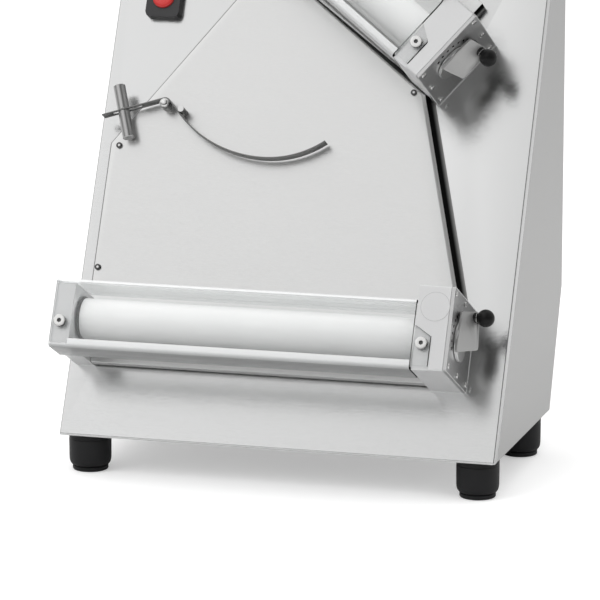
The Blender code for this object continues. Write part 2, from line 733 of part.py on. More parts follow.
def screw_heads(name, frame, places, turn, radius, height):
    """Several screw heads in one tool, each sunk a little into the plate that it holds."""
    mesh = bpy.data.meshes.new(name)
    shape = bmesh.new()
    for place in places:
        made = bmesh.ops.create_cone(shape, cap_ends=True, segments=TINY_STEPS, radius1=radius,
                                     radius2=radius - height / 2, depth=height + SCREW_SINK)
        seat = Matrix.Translation(place) @ turn.to_4x4() @ Matrix.Translation((0, 0,
                                                                               (height - SCREW_SINK) / 2))
        bmesh.ops.transform(shape, matrix=seat, verts=made["verts"])
    shape.to_mesh(mesh)
    shape.free()
    return attach(name, mesh, frame, ORIGIN, UPRIGHT, None)


def make_feet():
    cup_top = BASE_HEIGHT - GAP
    cup_foot = GLIDE_THICKNESS + GAP
    for row, depth in (("front", FOOT_FRONT), ("rear", FOOT_REAR)):
        for side, across in (("left", -FOOT_SPREAD), ("right", FOOT_SPREAD)):
            place = (across, depth, 0)
            shoulder = (CUP_RADIUS, cup_foot + CUP_ROUNDING)
            quarter = math.pi / 4
            bulge = (CUP_FOOT_RADIUS + (CUP_RADIUS - CUP_FOOT_RADIUS) * math.cos(quarter),
                     cup_foot + CUP_ROUNDING * (1 - math.sin(quarter)))
            edge = [shoulder, bulge, (CUP_FOOT_RADIUS, cup_foot)]
            bore = STUD_RADIUS + GAP
            cup = [(0, cup_top), (CUP_RADIUS, cup_top), *edge, (bore, cup_foot), (bore, STUD_TOP + GAP),
                   (0, STUD_TOP + GAP)]
            turned("foot_cup_%s_%s" % (row, side), cup, machine, place, UPRIGHT, BLACK_PLASTIC)
            glide = [(0, STUD_TOP), (STUD_RADIUS, STUD_TOP), (STUD_RADIUS, GLIDE_THICKNESS),
                     (GLIDE_RADIUS, GLIDE_THICKNESS),
                     (GLIDE_RADIUS, GLIDE_CHAMFER), (GLIDE_RADIUS - GLIDE_CHAMFER, 0), (0, 0)]
            turned("foot_glide_%s_%s" % (row, side), glide, machine, place, UPRIGHT, BLACK_PLASTIC)


def make_buttons():
    across, up = SWITCH_PLACE
    half = (SWITCH_WIDTH / 2, SWITCH_HEIGHT / 2)
    outline = rounded(rectangle((across - half[0], up - half[1]), (across + half[0], up + half[1])),
                      SWITCH_ROUNDING)
    case = prism("switch_housing", [outline], GAP, SWITCH_DEPTH, panel, finish=BLACK_PLASTIC)
    floor = SWITCH_FLOOR
    for name, shift, finish in (("start_button", BUTTON_SPREAD, SIGNAL_GREEN),
                                ("stop_button", -BUTTON_SPREAD, SIGNAL_RED)):
        place = (across, up + shift)
        cut(case, drum(name + "_bore_cut", BUTTON_RADIUS + GAP, floor, SWITCH_DEPTH + OVERRUN, panel, place,
                       turn=UPRIGHT))
        top = SWITCH_DEPTH + BUTTON_PROUD
        foot = floor + BUTTON_TRAVEL + GAP
        dome = [(0, top), (BUTTON_RADIUS - BUTTON_DOME, top), (BUTTON_RADIUS, top - BUTTON_DOME),
                (BUTTON_RADIUS, foot), (0, foot)]
        turned(name, dome, panel, (*place, 0), UPRIGHT, finish)


def make_gland():
    across, height = GLAND_PLACE
    floor = GLAND_REACH - GLAND_BORE_DEPTH
    profile = [(0, floor), (GLAND_BORE, floor), (GLAND_BORE, GLAND_REACH),
               (GLAND_DOME_RADIUS - GLAND_BORE / 2, GLAND_REACH),
               (GLAND_DOME_RADIUS, GLAND_REACH - GLAND_BORE), (GLAND_DOME_RADIUS, GLAND_FLANGE),
               (GLAND_FLANGE_RADIUS, GLAND_FLANGE), (GLAND_FLANGE_RADIUS, GAP), (GLAND_THREAD_RADIUS, GAP),
               (GLAND_THREAD_RADIUS, -GLAND_INSIDE), (0, -GLAND_INSIDE)]
    turned("cable_gland", profile, machine, (across, KNEE_DEPTH, height), (math.radians(-90), 0, 0),
           BLACK_PLASTIC, SMALL_STEPS)


def make_left_block(prefix, frame, length):
    inner = LEFT_BLOCK_WIDTH - length
    wall = GUARD_WALL + GAP
    outline = rounded(rectangle((wall, GAP), (GUARD_HEIGHT - wall, HEAD_DEPTH - wall)), EDGE_ROUNDING)
    block = prism(prefix + "_left_block", [outline], -length, inner, frame, turn=ALONG_X, finish=ALUMINIUM)
    low = (LEFT_POCKET_FLOOR - length, ROLLER_AXIS_HEIGHT - SLIDE_HALF_HEIGHT - GAP,
           FRONT_AXIS - CLOSING_TRAVEL - SLIDE_HALF_DEPTH - GAP)
    high = (inner + OVERRUN, ROLLER_AXIS_HEIGHT + SLIDE_HALF_HEIGHT + GAP,
            FRONT_AXIS + SLIDE_HALF_DEPTH + GAP)
    cut(block, box(prefix + "_left_pocket_cut", low, high, frame))
    cut(block, drum(prefix + "_left_bore_cut", AXLE_RADIUS + GAP, LEFT_POCKET_FLOOR - length,
                    inner + OVERRUN, frame,
                    (ROLLER_AXIS_HEIGHT, REAR_AXIS)))
    return block


def make_gear_block(prefix, frame):
    """The hollow right block, open behind for the belt and closed by the end plate."""
    right = -END_PLATE - GAP
    outline = rounded(rectangle((0, GAP), (BLOCK_HEIGHT, HEAD_DEPTH)), EDGE_ROUNDING)
    block = prism(prefix + "_gear_block", [outline], -GEAR_BLOCK_WIDTH, right, frame, turn=ALONG_X,
                  finish=ALUMINIUM)
    inside = GEAR_BLOCK_WALL - GEAR_BLOCK_WIDTH
    low = (inside, GEAR_BLOCK_WALL, GEAR_BLOCK_WALL)
    high = (right + OVERRUN, BLOCK_HEIGHT - GEAR_BLOCK_WALL, HEAD_DEPTH - GEAR_BLOCK_FRONT_WALL)
    cut(block, box(prefix + "_cavity_cut", low, high, frame))
    low = (inside + GAP, ROLLER_AXIS_HEIGHT - WINDOW_HALF_HEIGHT, -OVERRUN)
    high = (-PAD_REACH - GAP, ROLLER_AXIS_HEIGHT + WINDOW_HALF_HEIGHT, GEAR_BLOCK_WALL + OVERRUN)
    cut(block, box(prefix + "_belt_opening_cut", low, high, frame))
    clear = SLEEVE_RADIUS + 3 * GAP
    way = slot(clear, FRONT_AXIS - CLOSING_TRAVEL, FRONT_AXIS, ROLLER_AXIS_HEIGHT)
    cut(block, prism(prefix + "_sleeve_way_cut", [way], -GEAR_BLOCK_WIDTH - OVERRUN, inside + OVERRUN,
                     frame, turn=ALONG_X))
    cut(block, drum(prefix + "_axle_bore_cut", AXLE_RADIUS + GAP, -GEAR_BLOCK_WIDTH - OVERRUN,
                    inside + OVERRUN, frame,
                    (ROLLER_AXIS_HEIGHT, REAR_AXIS)))
    tab = guard_tab(GAP, -GEAR_BLOCK_WIDTH - OVERRUN, -OVERRUN)
    cut(block, prism(prefix + "_guard_recess_cut", [tab], HEAD_DEPTH - GUARD_WALL - GAP,
                     HEAD_DEPTH + OVERRUN, frame))
    return block


def guard_tab(clearance, left, foot):
    """The guard's corner that lies on the right block."""
    edge = clearance - GUARD_TAB_REACH
    shoulder = -GEAR_BLOCK_WIDTH + clearance
    return [(left, foot), (edge, foot), (edge, GUARD_TAB_HEIGHT + clearance),
            (shoulder, GUARD_TAB_SHOULDER + clearance),
            (left, GUARD_TAB_SHOULDER + clearance)]


def make_guard(prefix, frame, length, hopper):
    """Clear bent sheet in front of the rollers; the upper one opens out as a hopper."""
    front = HEAD_DEPTH
    line = [(0, GUARD_FOOT_EDGE), (0, front), (GUARD_HEIGHT, front)]
    if hopper:
        line.append((GUARD_HEIGHT + HOPPER_RISE, front + HOPPER_FLARE))
    else:
        line.append((GUARD_HEIGHT, GUARD_TOP_EDGE))
    outline = strip(bent_line(line, GUARD_BEND), -GUARD_WALL)
    guard = prism(prefix + "_guard", [outline], -length, -GEAR_BLOCK_WIDTH - GAP, frame, turn=ALONG_X,
                  finish=CLEAR)
    tab = guard_tab(0, -GEAR_BLOCK_WIDTH - GUARD_BEND, GUARD_BEND)
    fuse(guard, prism(prefix + "_guard_tab", [tab], front - GUARD_WALL, front, frame))
    return guard


def make_end_plate(prefix, frame):
    """The cover of the gear block, with the lever's ring of detents and an inner bearing pad."""
    middle = (ROLLER_AXIS_HEIGHT, LEVER_AXIS)
    holes = [circle(SPIGOT_RADIUS + GAP, middle)]
    for index in range(DETENTS):
        turn = LEVER_REST - index * LEVER_TURN / (DETENTS - 1)
        place = (middle[0] + DETENT_CIRCLE * math.sin(turn), middle[1] + DETENT_CIRCLE * math.cos(turn))
        holes.append(circle(DETENT_RADIUS, place, TINY_STEPS))
    outline = rounded(rectangle((0, GAP), (BLOCK_HEIGHT, HEAD_DEPTH)), EDGE_ROUNDING)
    plate = prism(prefix + "_end_plate", [outline, *holes], -END_PLATE, 0, frame, turn=ALONG_X,
                  finish=ALUMINIUM)
    pad = [rectangle((PAD_LOW, PAD_REAR), (PAD_HIGH, PAD_FRONT)),
           rectangle((middle[0] - SLIDE_HALF_HEIGHT - GAP,
                      FRONT_AXIS - CLOSING_TRAVEL - SLIDE_HALF_DEPTH - GAP),
                     (middle[0] + SLIDE_HALF_HEIGHT + GAP, FRONT_AXIS + SLIDE_HALF_DEPTH + GAP)),
           circle(AXLE_RADIUS + GAP, (ROLLER_AXIS_HEIGHT, REAR_AXIS))]
    fuse(plate, prism(prefix + "_bearing_pad", pad, -PAD_REACH, GAP - END_PLATE, frame, turn=ALONG_X))
    places = [(0, up, out) for up in (END_SCREW_INSET,
                                      BLOCK_HEIGHT - END_SCREW_INSET) for out in END_SCREW_DEPTHS]
    sideways = Matrix.Rotation(math.radians(90), 3, 'Y')
    fuse(plate, screw_heads(prefix + "_end_screws", frame, places, sideways, END_SCREW_RADIUS,
                            END_SCREW_HEIGHT))


def make_guard_screws(prefix, frame, guard, blocks, length):
    """Two large flat screws hold the guard to the blocks."""
    sides = (("left", GUARD_SCREW_LEFT - length, blocks[0]), ("right", -GUARD_SCREW_RIGHT, blocks[1]))
    for side, across, block in sides:
        place = (across, GUARD_SCREW_HEIGHT_UP, HEAD_DEPTH)
        top = GAP + GUARD_SCREW_HEIGHT
        edge = GUARD_SCREW_RADIUS - GUARD_SCREW_EDGE
        profile = [(0, top), (edge, top), (GUARD_SCREW_RADIUS, top - GUARD_SCREW_EDGE),
                   (GUARD_SCREW_RADIUS, GAP),
                   (GUARD_SCREW_SHANK, GAP), (GUARD_SCREW_SHANK,
                                              -GUARD_SCREW_LENGTH), (0, -GUARD_SCREW_LENGTH)]
        screw_name = "%s_guard_screw_%s" % (prefix, side)
        turned(screw_name, profile, frame, place, UPRIGHT, STEEL, SMALL_STEPS)
        hole = drum(screw_name + "_cut", GUARD_SCREW_SHANK + GAP, HEAD_DEPTH - GUARD_SCREW_LENGTH - GAP,
                    HEAD_DEPTH + OVERRUN,
                    frame, place[:2], steps=SMALL_STEPS, turn=UPRIGHT)
        cut(guard, hole)
        cut(block, hole)


def make_scraper(prefix, frame, length):
    """A bar below the rear roller whose thin blade just clears the roller."""
    blade_middle = SCRAPER_REAR + SCRAPER_BLADE / 2
    drop = math.sqrt(ROLLER_RADIUS ** 2 - (REAR_AXIS - blade_middle) ** 2)
    tip = ROLLER_AXIS_HEIGHT - drop - 2 * GAP
    outline = [(SCRAPER_LOW, SCRAPER_REAR), (tip, SCRAPER_REAR), (tip, SCRAPER_REAR + SCRAPER_BLADE),
               (SCRAPER_HIGH, SCRAPER_REAR + 2 * SCRAPER_BLADE), (SCRAPER_HIGH,
                                                                  SCRAPER_FRONT), (SCRAPER_LOW,
                                                                                   SCRAPER_FRONT)]
    prism(prefix + "_scraper", [outline], LEFT_BLOCK_WIDTH - length + GAP, -GEAR_BLOCK_WIDTH - GAP, frame,
          turn=ALONG_X,
          finish=STAINLESS)


def roller_profile(bore, left, right):
    edge = ROLLER_RADIUS - ROLLER_CHAMFER
    return [(bore, right), (edge, right), (ROLLER_RADIUS, right - ROLLER_CHAMFER),
            (ROLLER_RADIUS, left + ROLLER_CHAMFER),
            (edge, left), (bore, left)]


def make_front_roller(prefix, frame, length):
    """The white roller, and the hollow sleeve through it that carries its gear."""
    axis = empty(prefix + "_front_axis", frame, (0, ROLLER_AXIS_HEIGHT, FRONT_AXIS))
    inner = LEFT_BLOCK_WIDTH - length
    left = inner + END_DISC_THICKNESS + 2 * GAP
    right = -GEAR_BLOCK_WIDTH - 2 * GAP
    turned(prefix + "_front_roller", roller_profile(SLEEVE_RADIUS + GAP, left, right), axis,
           finish=ROLLER_WHITE,
           steps=FINE_STEPS, ring=True)
    start = -PAD_REACH + JOURNAL_LENGTH
    end = inner - JOURNAL_LENGTH
    tube = [(SLEEVE_BORE, start), (SLEEVE_RADIUS, start), (SLEEVE_RADIUS, end), (SLEEVE_BORE, end)]
    sleeve = turned(prefix + "_front_sleeve_gear", tube, axis, finish=STEEL, ring=True)
    hole = circle((SLEEVE_RADIUS + SLEEVE_BORE) / 2)
    teeth = turned_points(gear_outline(), math.pi)
    fuse(sleeve, prism(prefix + "_front_gear", [teeth, hole], -GEAR_OUTER_FACE - GEAR_WIDTH,
                       -GEAR_OUTER_FACE, axis,
                       turn=gear_turn()))


def gear_turn():
    """Gear outlines start at +Z of the head and run away from its Y."""
    return Matrix(((0, 0, 1), (0, -1, 0), (1, 0, 0))).to_euler()


def make_rear_roller(prefix, frame, length):
    axis = empty(prefix + "_rear_axis", frame, (0, ROLLER_AXIS_HEIGHT, REAR_AXIS))
    inner = LEFT_BLOCK_WIDTH - length
    left = inner + END_DISC_THICKNESS + 2 * GAP
    right = -GEAR_BLOCK_WIDTH - 2 * GAP
    turned(prefix + "_rear_roller", roller_profile(AXLE_RADIUS + GAP, left, right), axis,
           finish=ROLLER_WHITE,
           steps=FINE_STEPS, ring=True)
    start = -END_PLATE - 2 * GAP
    end = LEFT_POCKET_FLOOR + 2 * GAP - length
    rim = groove(-HEAD_PULLEY_CENTRE, HEAD_PULLEY_RADIUS)
    line = [(0, start), (AXLE_RADIUS, start), (AXLE_RADIUS, rim[0][1]), *rim, (AXLE_RADIUS, rim[-1][1]),
            (AXLE_RADIUS, end), (0, end)]
    axle = turned(prefix + "_rear_axle_gear", line, axis, finish=STEEL, steps=SMALL_STEPS)
    hole = circle(AXLE_RADIUS / 2)
    teeth = turned_points(gear_outline(), math.pi / TEETH)
    fuse(axle, prism(prefix + "_rear_gear", [teeth, hole], -GEAR_OUTER_FACE - GEAR_WIDTH, -GEAR_OUTER_FACE,
                     axis,
                     turn=gear_turn()))


def make_slide_bearings(prefix, frame, length):
    """Two plastic blocks that carry the front sleeve and slide as the eccentrics turn."""
    axis = empty(prefix + "_slide_axis", frame, (0, ROLLER_AXIS_HEIGHT, FRONT_AXIS))
    inner = LEFT_BLOCK_WIDTH - length
    outline = rectangle((-SLIDE_HALF_HEIGHT, -SLIDE_HALF_DEPTH), (SLIDE_HALF_HEIGHT, SLIDE_HALF_DEPTH))
    way = turned_points(slot(ECCENTRIC_RADIUS + GAP, -ECCENTRICITY - GAP, ECCENTRICITY + GAP, 0),
                        math.radians(90))
    bore = SLEEVE_RADIUS + GAP
    right = -END_PLATE - 2 * GAP
    middle = -PAD_REACH + JOURNAL_LENGTH + GAP
    block = prism(prefix + "_right_slide_bearing", [outline], -PAD_REACH + GAP, right, axis, turn=ALONG_X,
                  finish=BLACK_PLASTIC)
    cut(block, drum(prefix + "_right_journal_cut", bore, -PAD_REACH - OVERRUN, middle, axis))
    cut(block, prism(prefix + "_right_way_cut", [way], middle - OVERRUN, right + OVERRUN, axis,
                     turn=ALONG_X))
    left = LEFT_POCKET_FLOOR + GAP - length
    middle = inner - JOURNAL_LENGTH - GAP
    block = prism(prefix + "_left_slide_bearing", [outline], left, inner - GAP, axis, turn=ALONG_X,
                  finish=BLACK_PLASTIC)
    fuse(block, drum(prefix + "_left_neck", SLIDE_HALF_HEIGHT - GAP, inner - OVERRUN, inner + OVERRUN,
                     axis))
    fuse(block, drum(prefix + "_left_disc", END_DISC_RADIUS, inner + GAP, inner + GAP + END_DISC_THICKNESS,
                     axis, steps=FINE_STEPS))
    cut(block, drum(prefix + "_left_journal_cut", bore, middle, inner + END_DISC_THICKNESS + OVERRUN, axis))
    cut(block, prism(prefix + "_left_way_cut", [way], left - OVERRUN, middle + OVERRUN, axis, turn=ALONG_X))


def make_lever(prefix, frame, length):
    """Hub, flared blade and plunger sleeve, on a shaft with two eccentrics."""
    axis = empty(prefix + "_lever_axis", frame, (0, ROLLER_AXIS_HEIGHT, LEVER_AXIS))
    hub_foot = 2 * GAP
    hub_top = hub_foot + HUB_THICKNESS
    spigot_end = -END_PLATE - GAP
    shaft_end = LEFT_POCKET_FLOOR + 3 * GAP - length
    profile = [(0, hub_top), (HUB_RADIUS, hub_top), (HUB_RADIUS, hub_foot), (SPIGOT_RADIUS, hub_foot),
               (SPIGOT_RADIUS, spigot_end), (SHAFT_RADIUS, spigot_end), (SHAFT_RADIUS,
                                                                         shaft_end), (0, shaft_end)]
    lever = turned(prefix + "_adjusting_lever", profile, axis, finish=ALUMINIUM)
    offset = (-ECCENTRICITY * math.sin(REST_ECCENTRIC), ECCENTRICITY * math.cos(REST_ECCENTRIC))
    start = -END_PLATE - 2 * GAP
    fuse(lever, drum(prefix + "_right_eccentric", ECCENTRIC_RADIUS, start - ECCENTRIC_WIDTH, start, axis,
                     offset))
    fuse(lever, drum(prefix + "_left_eccentric", ECCENTRIC_RADIUS, shaft_end, shaft_end + ECCENTRIC_WIDTH,
                     axis, offset))
    line = [(BLADE_FRONT + OVERRUN, BLADE_LIFT), (BLADE_BEND, BLADE_LIFT),
            (BLADE_REAR - OVERRUN, BLADE_LIFT + BLADE_FLARE)]
    sheet = strip(bent_line(line, BLADE_ROUNDING), -BLADE_THICKNESS)
    blade = prism(prefix + "_blade", [sheet], BLADE_FOOT - OVERRUN, BLADE_TOP + OVERRUN, axis, turn=ALONG_Y)
    corners = [(BLADE_FOOT, BLADE_FRONT), (BLADE_SHOULDER, BLADE_BEND), (BLADE_TOP, BLADE_REAR),
               (BLADE_HEEL, BLADE_REAR)]
    seen = prism(prefix + "_blade_outline", [rounded(corners, BLADE_ROUNDING)], 0, KNOB_CENTRE, axis,
                 turn=ALONG_X)
    combine(blade, 'INTERSECT', [seen])
    fuse(lever, blade)
    place = (DETENT_CIRCLE * math.sin(LEVER_REST), DETENT_CIRCLE * math.cos(LEVER_REST))
    fuse(lever, drum(prefix + "_sleeve_boss", SLEEVE_BOSS_RADIUS, SLEEVE_BOSS_FOOT, SLEEVE_BOSS_TOP, axis,
                     place, steps=SMALL_STEPS))
    cut(lever, drum(prefix + "_sleeve_bore_cut", PIN_RADIUS + GAP, 0, KNOB_CENTRE, axis, place,
                    steps=SMALL_STEPS))
    make_index_knob(prefix, axis, place)


def make_index_knob(prefix, axis, place):
    """Spring plunger: a pin over the detents and the black ball that pulls it."""
    spread = math.asin(KNOB_NECK / KNOB_RADIUS)
    ball = arc((0, KNOB_CENTRE), KNOB_RADIUS, math.pi / 2, spread - math.pi / 2, TINY_STEPS)
    ball[0] = (0, KNOB_CENTRE + KNOB_RADIUS)
    seat = SLEEVE_BOSS_TOP + GAP
    profile = [*ball, (KNOB_NECK, seat), (PIN_RADIUS, seat), (PIN_RADIUS, PIN_TAPER + GAP), (PIN_TIP, GAP),
               (0, GAP)]
    turned(prefix + "_index_knob", profile, axis, (0, *place), finish=BLACK_PLASTIC, steps=SMALL_STEPS)


def make_head(prefix, frame, length):
    blocks = (make_left_block(prefix, frame, length), make_gear_block(prefix, frame))
    guard = make_guard(prefix, frame, length, prefix == "upper")
    make_guard_screws(prefix, frame, guard, blocks, length)
    make_end_plate(prefix, frame)
    make_scraper(prefix, frame, length)
    make_front_roller(prefix, frame, length)
    make_rear_roller(prefix, frame, length)
    make_slide_bearings(prefix, frame, length)
    make_lever(prefix, frame, length)


def strap_line():
    """Middle of the bent strap, from its left end over the hub to its right tip, about the pivot."""
    wrap = HUB_TUBE_RADIUS
    along = Vector((math.cos(ARM_SLOPE), math.sin(ARM_SLOPE)))
    first = math.radians(90) + ARM_SLOPE
    last = math.radians(90) - STRAP_SLOPE
    over = arc((0, 0), wrap, first, last, CORNER_STEPS)
    left = Vector(over[0]) - along * ARM_LENGTH
    down = Vector((math.cos(STRAP_SLOPE), -math.sin(STRAP_SLOPE)))
    start = Vector(over[-1]) + down * STRAP_STRAIGHT
    centre = start + Vector((math.sin(STRAP_SLOPE), math.cos(STRAP_SLOPE))) * STRAP_LONG_RADIUS
    low = math.radians(-90)
    sweep = arc(tuple(centre), STRAP_LONG_RADIUS, low - STRAP_SLOPE, low, STRAP_STEPS)
    turn = centre + Vector((0, STRAP_END_RADIUS - STRAP_LONG_RADIUS))
    tail = arc(tuple(turn), STRAP_END_RADIUS, low, low + STRAP_END_TURN, STRAP_STEPS)
    return [tuple(left), *over, *sweep, *tail[1:]]


def make_balance(chute):
    axis = empty("balance_axis", panel, (*PIVOT, 0))
    top = STRAP_LIFT + STRAP_WIDTH
    head = top + GAP
    post = [(0, head + PIVOT_HEAD), (PIVOT_HEAD_RADIUS - PIVOT_HEAD / 4, head + PIVOT_HEAD),
            (PIVOT_HEAD_RADIUS, head + PIVOT_HEAD * 3 / 4),
            (PIVOT_HEAD_RADIUS, head), (PIVOT_RADIUS, head), (PIVOT_RADIUS,
                                                              STRAP_LIFT - GAP), (PIVOT_BASE_RADIUS,
                                                                                  STRAP_LIFT - GAP),
            (PIVOT_BASE_RADIUS, CHUTE_RISE + GAP), (0, CHUTE_RISE + GAP)]
    turned("balance_pivot", post, axis, turn=UPRIGHT, finish=STEEL, steps=SMALL_STEPS)
    arm = prism("balance_arm", [strip(strap_line(), STRAP_THICKNESS)], STRAP_LIFT, top, axis, finish=STEEL)
    fuse(arm, drum("arm_hub", HUB_TUBE_RADIUS, STRAP_LIFT, top, axis, steps=SMALL_STEPS, turn=UPRIGHT))
    cut(arm, drum("arm_bore_cut", PIVOT_RADIUS + GAP, STRAP_LIFT - OVERRUN, top + OVERRUN, axis,
                  steps=SMALL_STEPS, turn=UPRIGHT))
    make_slot_and_weight(axis, arm)
    down = Vector((math.cos(STRAP_SLOPE), -math.sin(STRAP_SLOPE)))
    away = Vector((math.sin(STRAP_SLOPE), math.cos(STRAP_SLOPE)))
    reach = HUB_TUBE_RADIUS + STRAP_THICKNESS + STOP_RADIUS + GAP
    place = down * STOP_PLACE + away * reach
    fuse(chute, drum("stop_stud", STOP_RADIUS, CHUTE_RISE - SCREW_SINK, STOP_TOP, axis, place,
                     steps=SMALL_STEPS, turn=UPRIGHT))


def make_slot_and_weight(axis, arm):
    """The weight is two bars screwed together through the slot in the arm."""
    middle = STRAP_LIFT + STRAP_WIDTH / 2
    along = (-math.cos(ARM_SLOPE), -math.sin(ARM_SLOPE), 0)
    away = (-math.sin(ARM_SLOPE), math.cos(ARM_SLOPE), 0)
    inward = (0, 0, -1)
    slot_turn = Matrix((inward, along, away)).transposed().to_euler()
    opening = slot(SLOT_HALF_WIDTH, SLOT_START + SLOT_HALF_WIDTH, SLOT_END - SLOT_HALF_WIDTH, 0)
    tool = prism("arm_slot_cut", [opening], HUB_TUBE_RADIUS - OVERRUN,
                 HUB_TUBE_RADIUS + STRAP_THICKNESS + OVERRUN, axis,
                 (0, 0, middle), slot_turn)
    cut(arm, tool)
    face = HUB_TUBE_RADIUS + STRAP_THICKNESS + GAP
    back = HUB_TUBE_RADIUS - GAP
    top = face + WEIGHT_UPPER
    foot = back - WEIGHT_LOWER
    edge = WEIGHT_RADIUS - WEIGHT_CHAMFER
    profile = [(0, top), (edge, top), (WEIGHT_RADIUS, top - WEIGHT_CHAMFER), (WEIGHT_RADIUS, face),
               (WEIGHT_STUD, face),
               (WEIGHT_STUD, back), (WEIGHT_RADIUS, back), (WEIGHT_RADIUS,
                                                            foot + WEIGHT_CHAMFER), (edge, foot), (0, foot)]
    place = Vector(along) * WEIGHT_PLACE + Vector((0, 0, middle))
    turned("counterweight", profile, axis, place, slot_turn, STEEL)


def make_drive():
    groove_x = LOWER_END[0] - HEAD_PULLEY_CENTRE
    relay_x = groove_x + GROOVE_SPACING
    axis = empty("drive_axis", machine, (0, DRIVE_DEPTH, DRIVE_HEIGHT))
    low = MOTOR_RADIUS - MOTOR_RIB
    ribs = []
    body_left = MOTOR_LEFT + FAN_COVER_LENGTH
    pitch = (MOTOR_RIGHT - body_left) / MOTOR_RIBS
    for index in range(MOTOR_RIBS):
        right = MOTOR_RIGHT - index * pitch
        ribs += [(MOTOR_RADIUS, right), (MOTOR_RADIUS, right - pitch / 2), (low, right - pitch / 2),
                 (low, right - pitch)]
    profile = [(0, MOTOR_RIGHT), *ribs, (MOTOR_RADIUS, body_left), (MOTOR_RADIUS, MOTOR_LEFT),
               (0, MOTOR_LEFT)]
    motor = turned("motor", profile, axis, finish=MOTOR_GREY)
    floor = BASE_HEIGHT + SHEET + GAP
    foot_low = (MOTOR_FOOT_LEFT, DRIVE_DEPTH - MOTOR_FOOT_HALF, floor)
    foot_high = (MOTOR_FOOT_RIGHT, DRIVE_DEPTH + MOTOR_FOOT_HALF, floor + MOTOR_FOOT_HEIGHT)
    fuse(motor, box("motor_foot", foot_low, foot_high, machine))
    half = GEARBOX_HALF
    outline = rounded(rectangle((DRIVE_DEPTH - half, floor),
                                (DRIVE_DEPTH + half, DRIVE_HEIGHT + GEARBOX_RISE)), GEARBOX_ROUNDING)
    gearbox = prism("gearbox", [outline], MOTOR_RIGHT + GAP, GEARBOX_RIGHT, machine, turn=ALONG_X,
                    finish=ALUMINIUM)
    boss_end = GEARBOX_RIGHT + OUTPUT_BOSS_LENGTH
    fuse(gearbox, drum("output_boss", OUTPUT_BOSS, GEARBOX_RIGHT - OVERRUN, boss_end, axis))
    cut(gearbox, drum("output_bore_cut", OUTPUT_SHAFT + GAP, boss_end - SHAFT_SOCKET, boss_end + OVERRUN,
                      axis))
    near = groove(groove_x, DRIVE_PULLEY_RADIUS)
    far = groove(relay_x, DRIVE_PULLEY_RADIUS)
    shaft_end = boss_end - SHAFT_SOCKET + GAP
    line = [(0, far[0][1]), *far, *near, (OUTPUT_SHAFT, near[-1][1]), (OUTPUT_SHAFT, shaft_end),
            (0, shaft_end)]
    turned("drive_pulley", line, axis, finish=STEEL, steps=SMALL_STEPS)
    bpy.context.view_layer.update()
    make_relay(axis, groove_x, relay_x)


def make_relay(axis, groove_x, relay_x):
    """The relay shaft lies behind the upper head and turns its drive into the slant."""
    sideways = Vector((1, 0, 0))
    head_pulley = (-HEAD_PULLEY_CENTRE, ROLLER_AXIS_HEIGHT, REAR_AXIS)
    upper_centre = upper_head.matrix_world @ Vector(head_pulley)
    lower_centre = lower_head.matrix_world @ Vector(head_pulley)
    inward = panel.matrix_world.to_3x3() @ Vector((0, 0, -1))
    slanted = upper_head.matrix_world.to_3x3() @ sideways
    relay = upper_centre + inward * RELAY_DISTANCE
    relay_axis = empty("relay_axis", None, relay)
    upper_groove = groove(0, HEAD_PULLEY_RADIUS)
    riser_x = relay_x - relay.x
    riser_groove = groove(riser_x, HEAD_PULLEY_RADIUS)
    right = riser_groove[0][1] + RELAY_END
    left = upper_groove[-1][1] - RELAY_END
    line = [(0, right), (RELAY_SHAFT_RADIUS, right), (RELAY_SHAFT_RADIUS, riser_groove[0][1]),
            *riser_groove,
            (RELAY_SHAFT_RADIUS, riser_groove[-1][1]), (RELAY_SHAFT_RADIUS,
                                                        upper_groove[0][1]), *upper_groove,
            (RELAY_SHAFT_RADIUS, upper_groove[-1][1]), (RELAY_SHAFT_RADIUS, left), (0, left)]
    turned("relay_shaft", line, relay_axis, finish=STEEL, steps=SMALL_STEPS)
    bracket_x = (riser_groove[-1][1] + upper_groove[0][1]) / 2
    rear = machine.matrix_world.translation.y + KNEE_DEPTH - SHEET - GAP - relay.y
    outer = BRACKET_HALF_WIDTH
    inner = BRACKET_HALF_WIDTH - BRACKET_WALL
    web = rear - BRACKET_WALL
    outline = [(bracket_x - outer, -BRACKET_NOSE), (bracket_x - inner, -BRACKET_NOSE),
               (bracket_x - inner, web),
               (bracket_x + inner, web), (bracket_x + inner, -BRACKET_NOSE), (bracket_x + outer,
                                                                              -BRACKET_NOSE),
               (bracket_x + outer, rear), (bracket_x - outer, rear)]
    bracket = prism("relay_bracket", [outline], -BRACKET_HALF_HEIGHT, BRACKET_HALF_HEIGHT, relay_axis,
                    finish=STAINLESS)
    cut(bracket, drum("relay_bore_cut", RELAY_SHAFT_RADIUS + GAP, bracket_x - outer - OVERRUN,
                      bracket_x + outer + OVERRUN, relay_axis))
    drive = axis.matrix_world.translation
    drive_near = (drive + sideways * groove_x, sideways, DRIVE_PULLEY_RADIUS)
    drive_far = (drive + sideways * relay_x, sideways, DRIVE_PULLEY_RADIUS)
    belt("lower_belt", drive_near, (lower_centre, sideways, HEAD_PULLEY_RADIUS), BELT_ORANGE)
    belt("riser_belt", drive_far, (relay + sideways * riser_x, sideways, HEAD_PULLEY_RADIUS), BELT_ORANGE)
    belt("upper_belt", (relay, sideways, HEAD_PULLEY_RADIUS), (upper_centre, slanted, HEAD_PULLEY_RADIUS),
         BELT_ORANGE)


bpy.context.view_layer.update()
make_front_panel()
make_side_panels()
make_rear_cover()
make_base_plate()
chute_plate = make_chute_plate()
make_feed_plate()
make_feet()
make_buttons()
make_gland()
for head_name, head_frame, head_length in HEADS:
    make_head(head_name, head_frame, head_length)
make_balance(chute_plate)
make_drive()

